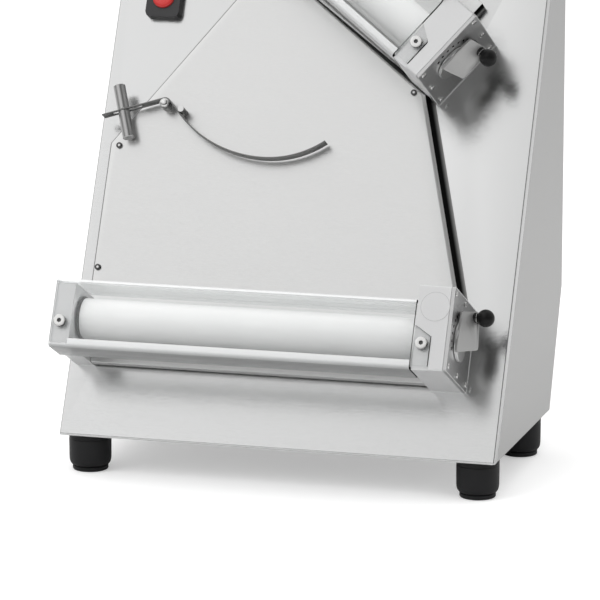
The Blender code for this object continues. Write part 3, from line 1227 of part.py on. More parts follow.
for part in parts.objects:
    if part.type == 'MESH' and part.data.polygons:
        part.data.shade_smooth()
        part.data.set_sharp_from_angle(angle=math.radians(30))
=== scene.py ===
# %% [markdown]
# # A stainless dough sheeter, dressed for its photograph
# The machine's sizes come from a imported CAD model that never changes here. Every step below
# either gives a CAD piece a better finish, or stands a smoother piece in its place, and lets
# it ride on the same moving body. The first cell loads that frame and keeps its box.

# %% Load the frame
import json
import math

import bmesh
import bpy
from mathutils import Matrix, Vector

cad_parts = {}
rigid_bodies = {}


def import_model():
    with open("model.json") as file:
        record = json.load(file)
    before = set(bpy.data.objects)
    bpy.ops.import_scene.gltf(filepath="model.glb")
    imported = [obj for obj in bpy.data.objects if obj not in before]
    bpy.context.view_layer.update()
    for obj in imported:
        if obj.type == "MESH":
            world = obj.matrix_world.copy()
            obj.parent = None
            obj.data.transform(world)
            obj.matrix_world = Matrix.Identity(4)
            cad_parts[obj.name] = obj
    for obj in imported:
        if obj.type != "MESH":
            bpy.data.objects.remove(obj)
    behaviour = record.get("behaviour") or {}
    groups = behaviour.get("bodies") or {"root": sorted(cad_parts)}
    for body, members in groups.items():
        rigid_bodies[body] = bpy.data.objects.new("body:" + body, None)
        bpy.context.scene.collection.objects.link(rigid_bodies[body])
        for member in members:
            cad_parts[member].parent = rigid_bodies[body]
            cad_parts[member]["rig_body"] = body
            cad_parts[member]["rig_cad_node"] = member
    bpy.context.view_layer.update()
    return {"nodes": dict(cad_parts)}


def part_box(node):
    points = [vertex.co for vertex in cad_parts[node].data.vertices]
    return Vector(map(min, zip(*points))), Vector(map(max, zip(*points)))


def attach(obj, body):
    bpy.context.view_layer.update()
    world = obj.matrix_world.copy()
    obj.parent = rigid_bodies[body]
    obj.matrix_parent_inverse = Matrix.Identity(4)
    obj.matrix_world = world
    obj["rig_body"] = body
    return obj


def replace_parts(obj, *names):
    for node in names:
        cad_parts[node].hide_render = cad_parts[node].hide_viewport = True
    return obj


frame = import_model()
nodes = frame["nodes"]
MM = 0.001

# %% [markdown]
# The front of the machine leans back, and both roller heads stand on that leaning plane. It
# is easiest to think in a head's own sizes: across, up the panel, and out of the panel. A
# matrix for each plane turns such sizes into places in the room, so no place is worked out
# by hand. From here on, sizes are in millimetres unless they are multiplied by MM.

# %% Planes of the machine
LEAN = math.radians(26.24)
SLANT = math.radians(37.5)
QUARTER = math.radians(90)
MIDDLE_DEPTH = 157.4337 * MM
FOOT_HEIGHT = 48.8 * MM
LOWER_RIGHT_END = (232, 86, 0)
UPPER_RIGHT_END = (154.6, 446, 0)
LOWER_LENGTH = 498.5
UPPER_LENGTH = 303


def at(plane, across, up, out):
    """A place on a plane, in millimetres, with the plane's own directions."""
    return plane @ Matrix.Translation((across * MM, up * MM, out * MM))


room = Matrix.Translation((0, -MIDDLE_DEPTH, 0))
panel = room @ Matrix.Translation((0, 0, FOOT_HEIGHT)) @ Matrix.Rotation(QUARTER - LEAN, 4, 'X')
lower_head = at(panel, *LOWER_RIGHT_END)
upper_head = at(panel, *UPPER_RIGHT_END) @ Matrix.Rotation(-SLANT, 4, 'Z')
HEADS = {"lower": (lower_head, LOWER_LENGTH), "upper": (upper_head, UPPER_LENGTH)}
ALONG_X = Matrix.Rotation(QUARTER, 4, 'Y')
print("panel at", tuple(round(v, 4) for v in panel.translation))

# %% [markdown]
# In Blender an operator acts on all that is selected, and the loaded CAD pieces still are.
# So each new thing is added with nothing else selected, and comes back as the active object.


# %% New things
def fresh(add, **settings):
    """Adds one thing with one of Blender's add operators."""
    bpy.ops.object.select_all(action='DESELECT')
    add(**settings)
    return bpy.context.object


print("selected after loading:", len(bpy.context.selected_objects))

# %% [markdown]
# The camera stands where the photographer stood: about five metres away with a long lens, to
# the right of the machine and a little above it. A long lens keeps upright edges nearly
# parallel, as they are in the photograph, and the photograph's frame needs no shift.

# %% The camera
CAMERA_PLACE = (1.4041, -4.7213 - MIDDLE_DEPTH, 1.2803)
CAMERA_YAW = math.radians(16.1837)
CAMERA_PITCH = math.radians(11.9725)
FILM_WIDTH = 36
LENS = 249.68
SIGHT = 50
CAMERA_TURN = (QUARTER - CAMERA_PITCH, 0, CAMERA_YAW)
camera = fresh(bpy.ops.object.camera_add, location=CAMERA_PLACE, rotation=CAMERA_TURN)
camera.data.sensor_width = FILM_WIDTH
camera.data.lens = LENS
camera.data.clip_end = SIGHT
bpy.context.scene.camera = camera
bpy.context.scene.view_settings.view_transform = 'Standard'
print("camera lens:", camera.data.lens)

# %% [markdown]
# Shader nodes are easier to read as sums than as wires. The small class below wraps a socket,
# so that `grain * 0.2 + 0.5` adds the Math nodes by itself. The reflected forms let a plain
# number stand first, as in `1 - mask`.


# %% Shader maths
class Value:
    """A number that changes over the surface: a socket that can be added and multiplied."""

    def __init__(self, finish, socket):
        self.finish = finish
        self.socket = socket

    def math(self, operation, first, second):
        made = self.finish.node('ShaderNodeMath', operation=operation, inputs={0: first, 1: second})
        return Value(self.finish, made.outputs[0])

    def __add__(self, other):
        return self.math('ADD', self, other)

    def __sub__(self, other):
        return self.math('SUBTRACT', self, other)

    def __rsub__(self, other):
        return self.math('SUBTRACT', other, self)

    def __mul__(self, other):
        return self.math('MULTIPLY', self, other)

    def __pow__(self, other):
        return self.math('POWER', self, other)

    def at_most(self, other):
        return self.math('MINIMUM', self, other)

    __radd__ = __add__
    __rmul__ = __mul__


# %% [markdown]
# `Finish` makes one material, or the world's background when it is given that tree. Its
# `node` method makes any node in one call: the settings first, then what goes into each
# socket. Patterns read Object coordinates, so they stay on a piece when the piece moves.

# %% One material
MIX_FACTOR = 0
MIX_FIRST_COLOUR = 6
MIX_SECOND_COLOUR = 7
MIX_RESULT_COLOUR = 2
NO_TURN = (0, 0, 0)


class Finish:
    """One material under construction."""

    def __init__(self, name, tree=None):
        if tree is None:
            self.material = bpy.data.materials.new(name)
            self.material.use_nodes = True
            tree = self.material.node_tree
            self.shader = tree.nodes["Principled BSDF"]
        self.tree = tree

    def node(self, kind, inputs=None, **settings):
        made = self.tree.nodes.new(kind)
        for key, value in settings.items():
            setattr(made, key, value)
        for key, value in (inputs or {}).items():
            self.put(made.inputs[key], value)
        return made

    def put(self, socket, value):
        if isinstance(value, Value):
            self.tree.links.new(value.socket, socket)
        elif isinstance(value, bpy.types.NodeSocket):
            self.tree.links.new(value, socket)
        else:
            socket.default_value = value

    def set(self, **sockets):
        for key, value in sockets.items():
            self.put(self.shader.inputs[key.replace("_", " ")], value)
        return self

    def where(self):
        return self.node('ShaderNodeTexCoord').outputs["Object"]

    def place(self, scale, turn):
        """Object coordinates in metres, turned and then stretched."""
        turned = self.node('ShaderNodeMapping', {"Vector": self.where(), "Rotation": turn}).outputs[0]
        return self.node('ShaderNodeMapping', {"Vector": turned, "Scale": scale}).outputs[0]

    def noise(self, scale, turn=NO_TURN, detail=3):
        sockets = {"Vector": self.place(scale, turn), "Scale": 1, "Detail": detail}
        return Value(self, self.node('ShaderNodeTexNoise', sockets).outputs["Fac"])

    def along(self, direction):
        """How far the place lies in one direction, in metres from the world's middle."""
        sockets = {0: self.where(), 1: direction}
        found = self.node('ShaderNodeVectorMath', sockets, operation='DOT_PRODUCT')
        return Value(self, found.outputs["Value"])

    def ramp(self, value, first, last, start=0.0, end=1.0):
        """A straight change from start to end while the value goes from first to last."""
        sockets = {"Value": value, "From Min": first, "From Max": last, "To Min": start, "To Max": end}
        return Value(self, self.node('ShaderNodeMapRange', sockets).outputs[0])

    def mix(self, factor, first, second):
        colours = {MIX_FIRST_COLOUR: (*first, 1), MIX_SECOND_COLOUR: (*second, 1)}
        made = self.node('ShaderNodeMix', {MIX_FACTOR: factor, **colours}, data_type='RGBA')
        return made.outputs[MIX_RESULT_COLOUR]

    def combed(self, lines, across, tilt):
        """Tips the surface to and fro across the brushing, so a mirror image is drawn out one way."""
        swing = (lines - 0.5) * tilt
        push = self.node('ShaderNodeVectorMath', {0: tuple(across), "Scale": swing}, operation='SCALE')
        plain = self.node('ShaderNodeNewGeometry').outputs["Normal"]
        tipped = self.node('ShaderNodeVectorMath', {0: plain, 1: push.outputs[0]}, operation='ADD')
        level = self.node('ShaderNodeVectorMath', {0: tipped.outputs[0]}, operation='NORMALIZE')
        return self.set(Normal=level.outputs[0])

    def bump(self, height, strength, distance):
        sockets = {"Height": height, "Strength": strength, "Distance": distance}
        return self.set(Normal=self.node('ShaderNodeBump', sockets).outputs[0])


# %% [markdown]
# Brushed metal shows two things: fine lines all in one direction, and a soft uneven glow
# where the lines are deeper. Noise that is stretched along the brushing gives the lines, and
# wide noise gives the glow. They vary the colour and the roughness a little, and the lines
# drive a very shallow bump. With the same scale three ways, the lines become the even grain
# of a blasted or turned surface.

# %% Metal finishes
LINE_SHARE = 0.55
CLOUD_SHARE = 0.45
LINE_ROUGHNESS = 0.1
CLOUD_ROUGHNESS = 0.08
PANEL_TURN = (LEAN - QUARTER, 0, 0)
LINES_UP = (900, 900, 5)
LINES_ACROSS = (8, 900, 900)
COARSE_GRAIN = (600, 600, 600)
BLASTED_GRAIN = (700, 700, 700)
EVEN_GRAIN = (900, 900, 900)
TURNED_GRAIN = (1200, 1200, 1200)


def brushed(name, dark, light, roughness, lines_per_metre, turn=NO_TURN, cloud=3.0, grain=0.25):
    """A metal between two colours, with lines counted in X, Y and Z of the turned plane."""
    finish = Finish(name)
    lines = finish.noise(lines_per_metre, turn, 2)
    clouds = finish.noise((cloud, cloud, cloud), turn, 2)
    finish.set(Base_Color=finish.mix(lines * LINE_SHARE + clouds * CLOUD_SHARE, dark, light), Metallic=1.0)
    middle = (LINE_ROUGHNESS + CLOUD_ROUGHNESS) / 2
    finish.set(Roughness=lines * LINE_ROUGHNESS + clouds * CLOUD_ROUGHNESS + (roughness - middle))
    return finish.bump(lines, grain, 0.4 * MM).material


# The side sheet is the front's stainless steel painted darker, as painted shade on the sides.
side_steel_painted_shade = brushed("side_steel_painted_shade", (0.57, 0.57, 0.565), (0.65, 0.65, 0.645), 0.42, LINES_UP)
back_sheet = brushed("back_sheet", (0.64, 0.64, 0.635), (0.72, 0.72, 0.715), 0.4, LINES_UP)
cast_light = brushed("fine_blasted_aluminium", (0.89, 0.893, 0.895), (0.95, 0.952, 0.953), 0.46,
                     BLASTED_GRAIN, cloud=9, grain=0.3)
end_light = brushed("end_plate_aluminium", (0.58, 0.582, 0.582), (0.74, 0.74, 0.74), 0.34,
                    (8, 1100, 8), PANEL_TURN)
blade_grey = brushed("blade_grey", (0.47, 0.47, 0.465), (0.57, 0.57, 0.565), 0.5,
                     BLASTED_GRAIN, cloud=9, grain=0.4)
turned_steel = brushed("turned_steel", (0.3, 0.3, 0.295), (0.46, 0.46, 0.455), 0.28, TURNED_GRAIN)
weight_steel = brushed("weight_steel", (0.42, 0.42, 0.415), (0.6, 0.6, 0.595), 0.3, TURNED_GRAIN)
strap_steel = brushed("strap_steel", (0.16, 0.16, 0.16), (0.3, 0.3, 0.295), 0.33, (14, 900, 900), PANEL_TURN)
bright_steel = brushed("bright_steel", (0.74, 0.74, 0.73), (0.88, 0.88, 0.87), 0.24, COARSE_GRAIN, grain=0.1)
dark_screw_and_painted_shade = brushed("dark_screw_and_painted_shade", (0.06, 0.06, 0.06), (0.16, 0.16, 0.16), 0.35, COARSE_GRAIN, grain=0.1)
hub_steel = brushed("hub_steel", (0.72, 0.72, 0.715), (0.85, 0.85, 0.845), 0.32, EVEN_GRAIN, grain=0.15)
scraper_sheet = brushed("scraper_sheet", (0.76, 0.76, 0.755), (0.86, 0.86, 0.855), 0.36,
                        LINES_ACROSS, PANEL_TURN)
# The next three finishes are painted shade for seams, folds and edges: near black, dark grey and a lighter
# grey.
shaded_fold = brushed("shaded_fold", (0.03, 0.03, 0.03), (0.05, 0.05, 0.05), 0.4, EVEN_GRAIN, grain=0.1)
fold_painted_shade = brushed("fold_painted_shade", (0.26, 0.26, 0.26), (0.34, 0.34, 0.34), 0.4, EVEN_GRAIN, grain=0.1)
soft_fold_painted_shade = brushed("soft_fold_painted_shade", (0.62, 0.62, 0.615), (0.72, 0.72, 0.715), 0.58, EVEN_GRAIN, grain=0.1)
print("metal finishes:", len(bpy.data.materials))

# %% [markdown]
# The large leaning sheets are brushed from side to side, and that draws their mirror images
# out up and down. An anisotropic shader could do it too, but few exported files keep that
# setting, and nearly all keep a normal map. So the fine lines tip the normal itself, up and
# down the panel, by a small amount.

# %% Large brushed sheets
UP_THE_PANEL = (0, math.sin(LEAN), math.cos(LEAN))
HAIR_LINES = (150, 16000, 16000)
STREAKS = (9, 300, 300)
STREAK_ROUGHNESS = 0.06


def combed_sheet(name, dark, light, roughness, tilt):
    """Sheet brushed from side to side: its mirror images are sharp across and blurred up and down."""
    finish = Finish(name)
    lines = finish.noise(HAIR_LINES, PANEL_TURN, 1)
    streaks = finish.noise(STREAKS, PANEL_TURN, 2)
    clouds = finish.noise((3, 3, 3), PANEL_TURN, 2)
    finish.set(Base_Color=finish.mix(lines * 0.3 + streaks * 0.15 + clouds * 0.55, dark, light), Metallic=1.0)
    finish.set(Roughness=streaks * STREAK_ROUGHNESS + (roughness - STREAK_ROUGHNESS / 2))
    return finish.combed(lines, UP_THE_PANEL, tilt).material


front_sheet = combed_sheet("front_sheet", (0.71, 0.715, 0.715), (0.79, 0.792, 0.79), 0.19, 0.4)
chute_sheet = combed_sheet("chute_sheet", (0.765, 0.768, 0.763), (0.845, 0.845, 0.84), 0.3, 0.35)
print("combed sheets made")

# %% [markdown]
# Gaps, pockets and the chute's right side get hardly any light, and a smooth metal would mirror something
# bright there. They take a near-black finish without any shine, which is painted shade. On the chute's side it
# also turns from black to grey over the last millimetres above the front sheet, a painted glow of the light
# that the front throws back, so its colour follows the height out of the panel.

# %% Finishes in the shade
OUT_OF_PANEL = (0, -math.cos(LEAN), math.sin(LEAN))
PANEL_OUT = MIDDLE_DEPTH * math.cos(LEAN) + FOOT_HEIGHT * math.sin(LEAN)
BLACK_FROM = 7.5 * MM
GREY_BELOW = 0.3 * MM
SHADE_CURVE = 1.3


def shineless(name):
    """A finish that mirrors nothing."""
    return Finish(name).set(Roughness=1.0, Specular_IOR_Level=0.0)


# Painted shade for the chute's side, with painted bounce light near its foot.
shade = shineless("deep_shade")
near_foot = shade.ramp(shade.along(OUT_OF_PANEL) - PANEL_OUT, BLACK_FROM, GREY_BELOW) ** SHADE_CURVE
shade.set(Base_Color=shade.mix(near_foot, (0.005, 0.005, 0.005), (0.3, 0.3, 0.295)))
deep_shade = shade.material
# Painted shade for pockets, holes and narrow gaps.
gap = shineless("gap_painted_shade")
gap.set(Base_Color=gap.mix(gap.noise((40, 40, 40)), (0.004, 0.004, 0.004), (0.01, 0.01, 0.01)))
gap_painted_shade = gap.material
print("shade from", BLACK_FROM, "m above the panel")

# %% [markdown]
# The plastics are told apart by their grain. The rollers are smooth white plastic that was turned on a lathe,
# and the feet and the ball knobs are black and slightly grained from their moulds. The milled rims of the end
# plates take this kind too, as a painted highlight: they show as pale lines from every side, which a mirroring
# metal wouldn't.


# %% Plastic finishes
def moulded(name, dark, light, roughness, grains_per_metre=2600, grain=0.12, coat=0.0, shine=0.5):
    """A plastic between two colours, with fine grain and slightly uneven wear."""
    finish = Finish(name)
    grain_noise = finish.noise((grains_per_metre,) * 3, detail=2)
    wear = finish.noise((24, 24, 24), detail=4)
    finish.set(Base_Color=finish.mix(wear, dark, light), Roughness=wear * 0.12 + (roughness - 0.06))
    finish.set(Coat_Weight=coat, Specular_IOR_Level=shine)
    return finish.bump(grain_noise, grain, 0.3 * MM).material


roller_white = moulded("roller_white", (0.88, 0.885, 0.88), (0.93, 0.93, 0.925), 0.38, 1500, 0.05)
black_rubber = moulded("black_rubber", (0.009, 0.009, 0.01), (0.016, 0.016, 0.017), 0.48,
                       1800, 0.2, shine=0.3)
black_gloss = moulded("black_gloss", (0.004, 0.004, 0.004), (0.008, 0.008, 0.008), 0.34,
                      2200, 0.03, shine=0.25)
bearing_black = moulded("bearing_black", (0.02, 0.02, 0.021), (0.035, 0.035, 0.036), 0.42)
rim_painted_highlight = moulded("rim_painted_highlight", (0.84, 0.84, 0.84), (0.92, 0.92, 0.915), 0.3, 900, 0.05, shine=0.8)
belt_orange = moulded("belt_orange", (0.5, 0.17, 0.04), (0.62, 0.23, 0.06), 0.48)
signal_red = moulded("signal_red", (0.5, 0.02, 0.02), (0.6, 0.035, 0.03), 0.28, coat=0.3)
signal_green = moulded("signal_green", (0.02, 0.28, 0.08), (0.035, 0.36, 0.1), 0.28, coat=0.3)
motor_paint = moulded("motor_paint", (0.2, 0.215, 0.23), (0.26, 0.28, 0.3), 0.5, 900, 0.3)
print("metal and plastic finishes:", len(bpy.data.materials))

# %% [markdown]
# The guard is clear sheet, 4 mm thick. Light goes straight through it, and it is seen only by a faint haze and
# by what it mirrors at a low angle. So its alpha is small and grows with the Fresnel share. Milled edges and
# folds scatter light, and their alpha is larger. The foot's larger alpha and white haze are a painted sheen of
# light.

# %% Clear sheet
ACRYLIC_IOR = 1.49
HAZE_SHARE = 0.02


def clear_sheet(name, tint, body_share, mirror_share, roughness):
    """Sheet that lets light pass: it is seen only by its haze and by what it mirrors."""
    finish = Finish(name)
    haze = finish.noise((14, 14, 14), detail=2)
    slant = Value(finish, finish.node('ShaderNodeFresnel', {"IOR": ACRYLIC_IOR}).outputs[0])
    finish.set(Base_Color=finish.mix(haze, tint, (0.93, 0.94, 0.94)), Roughness=roughness, IOR=ACRYLIC_IOR)
    return finish.set(Alpha=slant * mirror_share + haze * HAZE_SHARE + body_share).material


guard_clear = clear_sheet("guard_clear", (0.86, 0.89, 0.89), 0.03, 0.55, 0.06)
guard_foot_painted_sheen = clear_sheet("guard_foot_painted_sheen", (0.95, 0.96, 0.96), 0.4, 0.7, 0.1)
guard_frost_and_painted_sheen = clear_sheet("guard_frost_and_painted_sheen", (0.92, 0.93, 0.93), 0.6, 0.5, 0.25)
print("all finishes:", len(bpy.data.materials))

# %% [markdown]
# Most CAD pieces already have the right shape and only lack what a real edge has: a small
# round that catches the light. A copy of the piece is welded, its flat faces are merged, and
# its sharp edges are rounded. The copy then stands for the piece and rides where it rode.

# %% Softened copies
WELD = 0.01 * MM
FLAT = math.radians(0.5)


def alone(obj):
    """Makes one object the only selected one, so that an operator acts on it alone."""
    bpy.ops.object.select_all(action='DESELECT')
    obj.hide_set(False)
    obj.select_set(True)
    bpy.context.view_layer.objects.active = obj
    return obj


def edit_all(kind):
    """Edit mode, with all 'VERT', 'EDGE' or 'FACE' elements of the active object selected."""
    bpy.ops.object.mode_set(mode='EDIT')
    bpy.ops.mesh.select_mode(type=kind)
    bpy.ops.mesh.select_all(action='SELECT')


def settle(obj, name, place, finish, body, *stands_for, smooth=35):
    """Puts a finished piece at its place in its mesh, and lets it ride on its body."""
    obj.name = name
    obj.data.name = name
    alone(obj)
    obj.matrix_world = place @ obj.matrix_world
    bpy.ops.object.transform_apply(location=True, rotation=True, scale=True)
    bpy.ops.object.shade_smooth_by_angle(angle=math.radians(smooth))
    if finish is not None:
        obj.data.materials.clear()
        obj.data.materials.append(finish)
    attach(obj, body)
    if stands_for:
        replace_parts(obj, *stands_for)
    return obj


def rounded_by(obj, width, segments=2, angle=40):
    """A bevel on every edge sharper than the angle, applied at once."""
    alone(obj)
    soft = obj.modifiers.new("soft_edge", 'BEVEL')
    soft.width = width * MM
    soft.segments = segments
    soft.limit_method = 'ANGLE'
    soft.angle_limit = math.radians(angle)
    bpy.ops.object.modifier_apply(modifier=soft.name)
    return obj


def dress(node, width, finish, segments=2, angle=40, smooth=10, shaped=None):
    """A softened copy of a CAD piece that stands for it; shaped(copy) works on it in edit mode."""
    source = nodes[node]
    copy = source.copy()
    copy.data = source.data.copy()
    copy.parent = None
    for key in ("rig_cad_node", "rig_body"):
        del copy[key]
    bpy.context.scene.collection.objects.link(copy)
    alone(copy)
    edit_all('VERT')
    bpy.ops.mesh.remove_doubles(threshold=WELD)
    bpy.ops.mesh.dissolve_limited(angle_limit=FLAT)
    if shaped:
        shaped(copy)
    bpy.ops.object.mode_set(mode='OBJECT')
    rounded_by(copy, width, segments, angle)
    return settle(copy, node + "_dressed", Matrix.Identity(4), finish, source["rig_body"], node, smooth=smooth)


def second_finish(obj, finish, wanted, plane=panel):
    """Gives another finish to the faces that wanted(middle, normal) accepts, seen in a plane's sizes."""
    obj.data.materials.append(finish)
    slot = len(obj.data.materials) - 1
    to_plane = plane.inverted()
    for face in obj.data.polygons:
        if wanted(to_plane @ face.center, to_plane.to_3x3() @ face.normal):
            face.material_index = slot


print("pieces to dress:", len(nodes))

# %% [markdown]
# ## The body
# The sheets are folded, so their long corners are bends and not cuts: they get a wide soft
# round. A bend is a bevel of the edges that lie at one height over the panel, and the
# panel's own sizes find them. Selecting by place works at every size of the machine.

# %% Folds
BEND_STEPS = 5
FOLD_ANGLE = math.radians(60)
to_panel = panel.inverted()


def pick_edges(wanted):
    """In edit mode, selects the edges that wanted(edge) accepts."""
    obj = bpy.context.object
    bpy.ops.mesh.select_mode(type='EDGE')
    bpy.ops.mesh.select_all(action='DESELECT')
    shape = bmesh.from_edit_mesh(obj.data)
    for edge in shape.edges:
        edge.select_set(bool(wanted(edge)))
    bmesh.update_edit_mesh(obj.data)


def long_bend(height, width, least=60):
    """Edit mode: rounds the long edges that lie at a height above the panel."""
    def wanted(edge):
        ends = [to_panel @ vertex.co for vertex in edge.verts]
        level = all(abs(end.z - height * MM) < 0.1 * MM for end in ends)
        turns = edge.is_manifold and edge.calc_face_angle() > FOLD_ANGLE
        return level and turns and (ends[0] - ends[1]).length > least * MM
    pick_edges(wanted)
    bpy.ops.mesh.bevel(offset=width * MM, segments=BEND_STEPS, affect='EDGES', clamp_overlap=False)


print("a fold turns over", round(math.degrees(FOLD_ANGLE)), "degrees")

# %% [markdown]
# The front is a tray whose side flanges meet the side panels in a thin dark seam, which is painted shade on
# the flanges' rims. The round of a bend can reach a hair past the CAD piece, so its points are held within
# that width.

# %% Front tray
FOLD_RADIUS = 2.8
FRONT_FOLD_LEAST = 300
FLANGE_END = -14.2 * MM
FLANGE_OUT = 270 * MM


def folded_front(obj):
    """Edit mode: the two long bends of the front tray."""
    long_bend(0, FOLD_RADIUS, FRONT_FOLD_LEAST)


def at_side_seam(place, normal):
    """The rim of the front tray's side flanges, which takes painted shade."""
    return place.z < FLANGE_END and abs(place.x) > FLANGE_OUT


front = dress("front_panel", 0.5, front_sheet, 2, 60, shaped=folded_front)
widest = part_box("front_panel")[1][0]
for vertex in front.data.vertices:
    vertex.co.x = max(-widest, min(widest, vertex.co.x))
# The flanges' rims take painted shade for the seam, and the folds that face left a painted line of shade.
second_finish(front, shaded_fold, at_side_seam)
second_finish(front, fold_painted_shade, lambda place, normal: -0.96 < normal.x < -0.2)
print("front dressed,", round(2 * widest / MM, 1), "mm wide")

# %% [markdown]
# The chute plate is a shallower tray in front of the panel. Its left fold is painted as a thin grey line of
# shade. Its right side leans outwards down to the panel and faces away from the light, and it is painted as a
# dark band of shade, with the round of the fold beside it painted as a softer one.

# %% Chute and feed plates
CHUTE_RISE = 17
SHEET = 1.5
SKIRT = 10.0
SKIRT_FROM = 190 * MM
CHUTE_LEAN = math.radians(15.8)
CHUTE_RIGHT = Vector((math.cos(CHUTE_LEAN), math.sin(CHUTE_LEAN), 0))
CHUTE_RIGHT_REACH = (Vector((138.4, 455.4, 0)) * MM).dot(CHUTE_RIGHT)


def folded_chute(obj):
    """Edit mode: leans the chute's right side outwards, and rounds both faces of its folds."""
    shape = bmesh.from_edit_mesh(obj.data)
    outward = panel.to_3x3() @ CHUTE_RIGHT * SKIRT * MM
    for vertex in shape.verts:
        place = to_panel @ vertex.co
        on_right = place.dot(CHUTE_RIGHT) > CHUTE_RIGHT_REACH - 3 * MM
        if on_right and place.z < MM and place.y > SKIRT_FROM:
            vertex.co += outward
    bmesh.update_edit_mesh(obj.data)
    long_bend(CHUTE_RISE, FOLD_RADIUS)
    long_bend(CHUTE_RISE - SHEET, FOLD_RADIUS - SHEET)


for node in ("chute_plate", "feed_plate"):
    plate = dress(node, 0.4, chute_sheet, 2, 50, shaped=folded_chute if node == "chute_plate" else None)
    # The right side takes painted shade, the round of its fold a softer painted shade, and the left fold a
    # painted line of shade.
    second_finish(plate, deep_shade, lambda place, normal: normal.x > 0.72 and abs(normal.z) < 0.55)
    second_finish(plate, soft_fold_painted_shade, lambda place, normal: normal.x > 0.1 and normal.z > 0.56)
    second_finish(plate, fold_painted_shade, lambda place, normal: normal.x < -0.2 and place.z > 10 * MM)
print("chute side leans out", SKIRT, "mm")

# %% [markdown]
# The side panels, the folded cover at the back and the floor sheet are flat sheets, and a softened copy is all
# that they need. The side panels' steel is painted darker than the front's, as painted shade. The right
# panel's front edge lies in the dark seam, and is painted as shade.

# %% Side panels, back and floor
dress("left_side_panel", 0.4, side_steel_painted_shade)
right_side = dress("right_side_panel", 0.4, side_steel_painted_shade)
# Its front edge, in the seam, takes painted shade.
second_finish(right_side, shaded_fold, lambda place, normal: normal.z > 0.5)
dress("rear_cover", 0.7, back_sheet, 2, 25)
dress("base_plate", 0.3, back_sheet)
print("body dressed, right side faces:", len(right_side.data.polygons))

# %% [markdown]
# ## Roller heads
# Each head is two blasted aluminium blocks with rollers, guard and scraper between them. The blocks and the
# end plate keep their CAD shape with softened edges. The pocket for the guard's tab and the small holes for
# the plunger get no light, so their walls are painted black as shade.

# %% Blocks, end plates and scrapers
AXIS_UP = 47
LEVER_OUT = 70
DETENT_REACH = 33


def in_tab_recess(place, normal):
    """The upright walls of the pocket that takes the guard's screw tab, which take painted shade."""
    in_pocket = place.z > 111 * MM and -43 * MM < place.x < -20 * MM and 2 * MM < place.y < 60 * MM
    return abs(normal.z) < 0.3 and in_pocket


def in_detent(place, normal):
    """The walls and floors of the small holes that the plunger's tip drops into, which take painted shade."""
    reach = math.hypot(place.y - AXIS_UP * MM, place.z - LEVER_OUT * MM)
    sunk = abs(normal.x) < 0.3 or (normal.x > 0.9 and place.x < -0.5 * MM)
    return abs(reach - DETENT_REACH * MM) < 4 * MM and sunk


def repaint(node, finish):
    """Another finish for a CAD piece that keeps its own mesh."""
    nodes[node].data.materials.clear()
    nodes[node].data.materials.append(finish)


for head, (plane, length) in HEADS.items():
    dress(head + "_left_block", 0.5, cast_light)
    block = dress(head + "_gear_block", 0.5, cast_light)
    # The pocket's walls and the detent holes take painted shade.
    second_finish(block, gap_painted_shade, in_tab_recess, plane)
    cover = dress(head + "_end_plate", 0.7, end_light, 2, 60)
    # The end plate's chamfers take a pale finish that is a painted highlight.
    second_finish(cover, rim_painted_highlight, lambda place, normal: 0.3 < normal.x < 0.95, plane)
    second_finish(cover, gap_painted_shade, in_detent, plane)
    dress(head + "_scraper", 0.5, scraper_sheet)
    dress(head + "_right_slide_bearing", 0.3, bearing_black, smooth=35)
    dress(head + "_left_slide_bearing", 0.3, bearing_black, smooth=35)
    repaint(head + "_front_sleeve_gear", turned_steel)
    repaint(head + "_rear_axle_gear", turned_steel)
print("blocks dressed:", 2 * len(HEADS))

# %% [markdown]
# A milled rim runs round each end plate, and its pale finish is a painted highlight that shows it as a thin
# bright line. It is a flat frame: a plane with rounded corners is inset, its middle is deleted, and the frame
# that is left gets a hair of thickness, so it stands a little proud of the plate.

# %% Rims of the end plates
END_FACING = Matrix(((0, 0, 1), (1, 0, 0), (0, 1, 0))).to_4x4()
PLATE_TALL = 104
PLATE_DEEP = 114.5
PLATE_BACK = 0.3
PLATE_CORNER = 2
RIM_WIDE = 1.1
RIM_PROUD = 0.2


def pick_faces(wanted):
    """In edit mode, selects the faces of the active object that wanted(face) accepts."""
    obj = bpy.context.object
    bpy.ops.mesh.select_mode(type='FACE')
    bpy.ops.mesh.select_all(action='DESELECT')
    shape = bmesh.from_edit_mesh(obj.data)
    for face in shape.faces:
        face.select_set(bool(wanted(face)))
    bmesh.update_edit_mesh(obj.data)


def thickened(obj, thickness, offset):
    """A wall made of a sheet of faces, applied at once."""
    wall = obj.modifiers.new("wall", 'SOLIDIFY')
    wall.thickness = thickness * MM
    wall.offset = offset
    alone(obj)
    bpy.ops.object.modifier_apply(modifier=wall.name)
    return obj


def plate_rim():
    """A rounded rectangular frame in the local XY plane, facing along Z."""
    rim = fresh(bpy.ops.mesh.primitive_plane_add, size=1)
    rim.scale = (PLATE_TALL * MM, PLATE_DEEP * MM, 1)
    bpy.ops.object.transform_apply(location=True, rotation=True, scale=True)
    edit_all('VERT')
    bpy.ops.mesh.bevel(offset=PLATE_CORNER * MM, segments=4, affect='VERTICES')
    pick_faces(lambda face: True)
    bpy.ops.mesh.inset(thickness=RIM_WIDE * MM)
    bpy.ops.mesh.delete(type='FACE')
    bpy.ops.object.mode_set(mode='OBJECT')
    return thickened(rim, 2 * RIM_PROUD, 0)


for head, (plane, length) in HEADS.items():
    middle = at(plane, 0, PLATE_TALL / 2, PLATE_BACK + PLATE_DEEP / 2)
    settle(plate_rim(), head + "_end_plate_rim", middle @ END_FACING, rim_painted_highlight, "housing")
print("rims stand", RIM_PROUD, "mm proud")

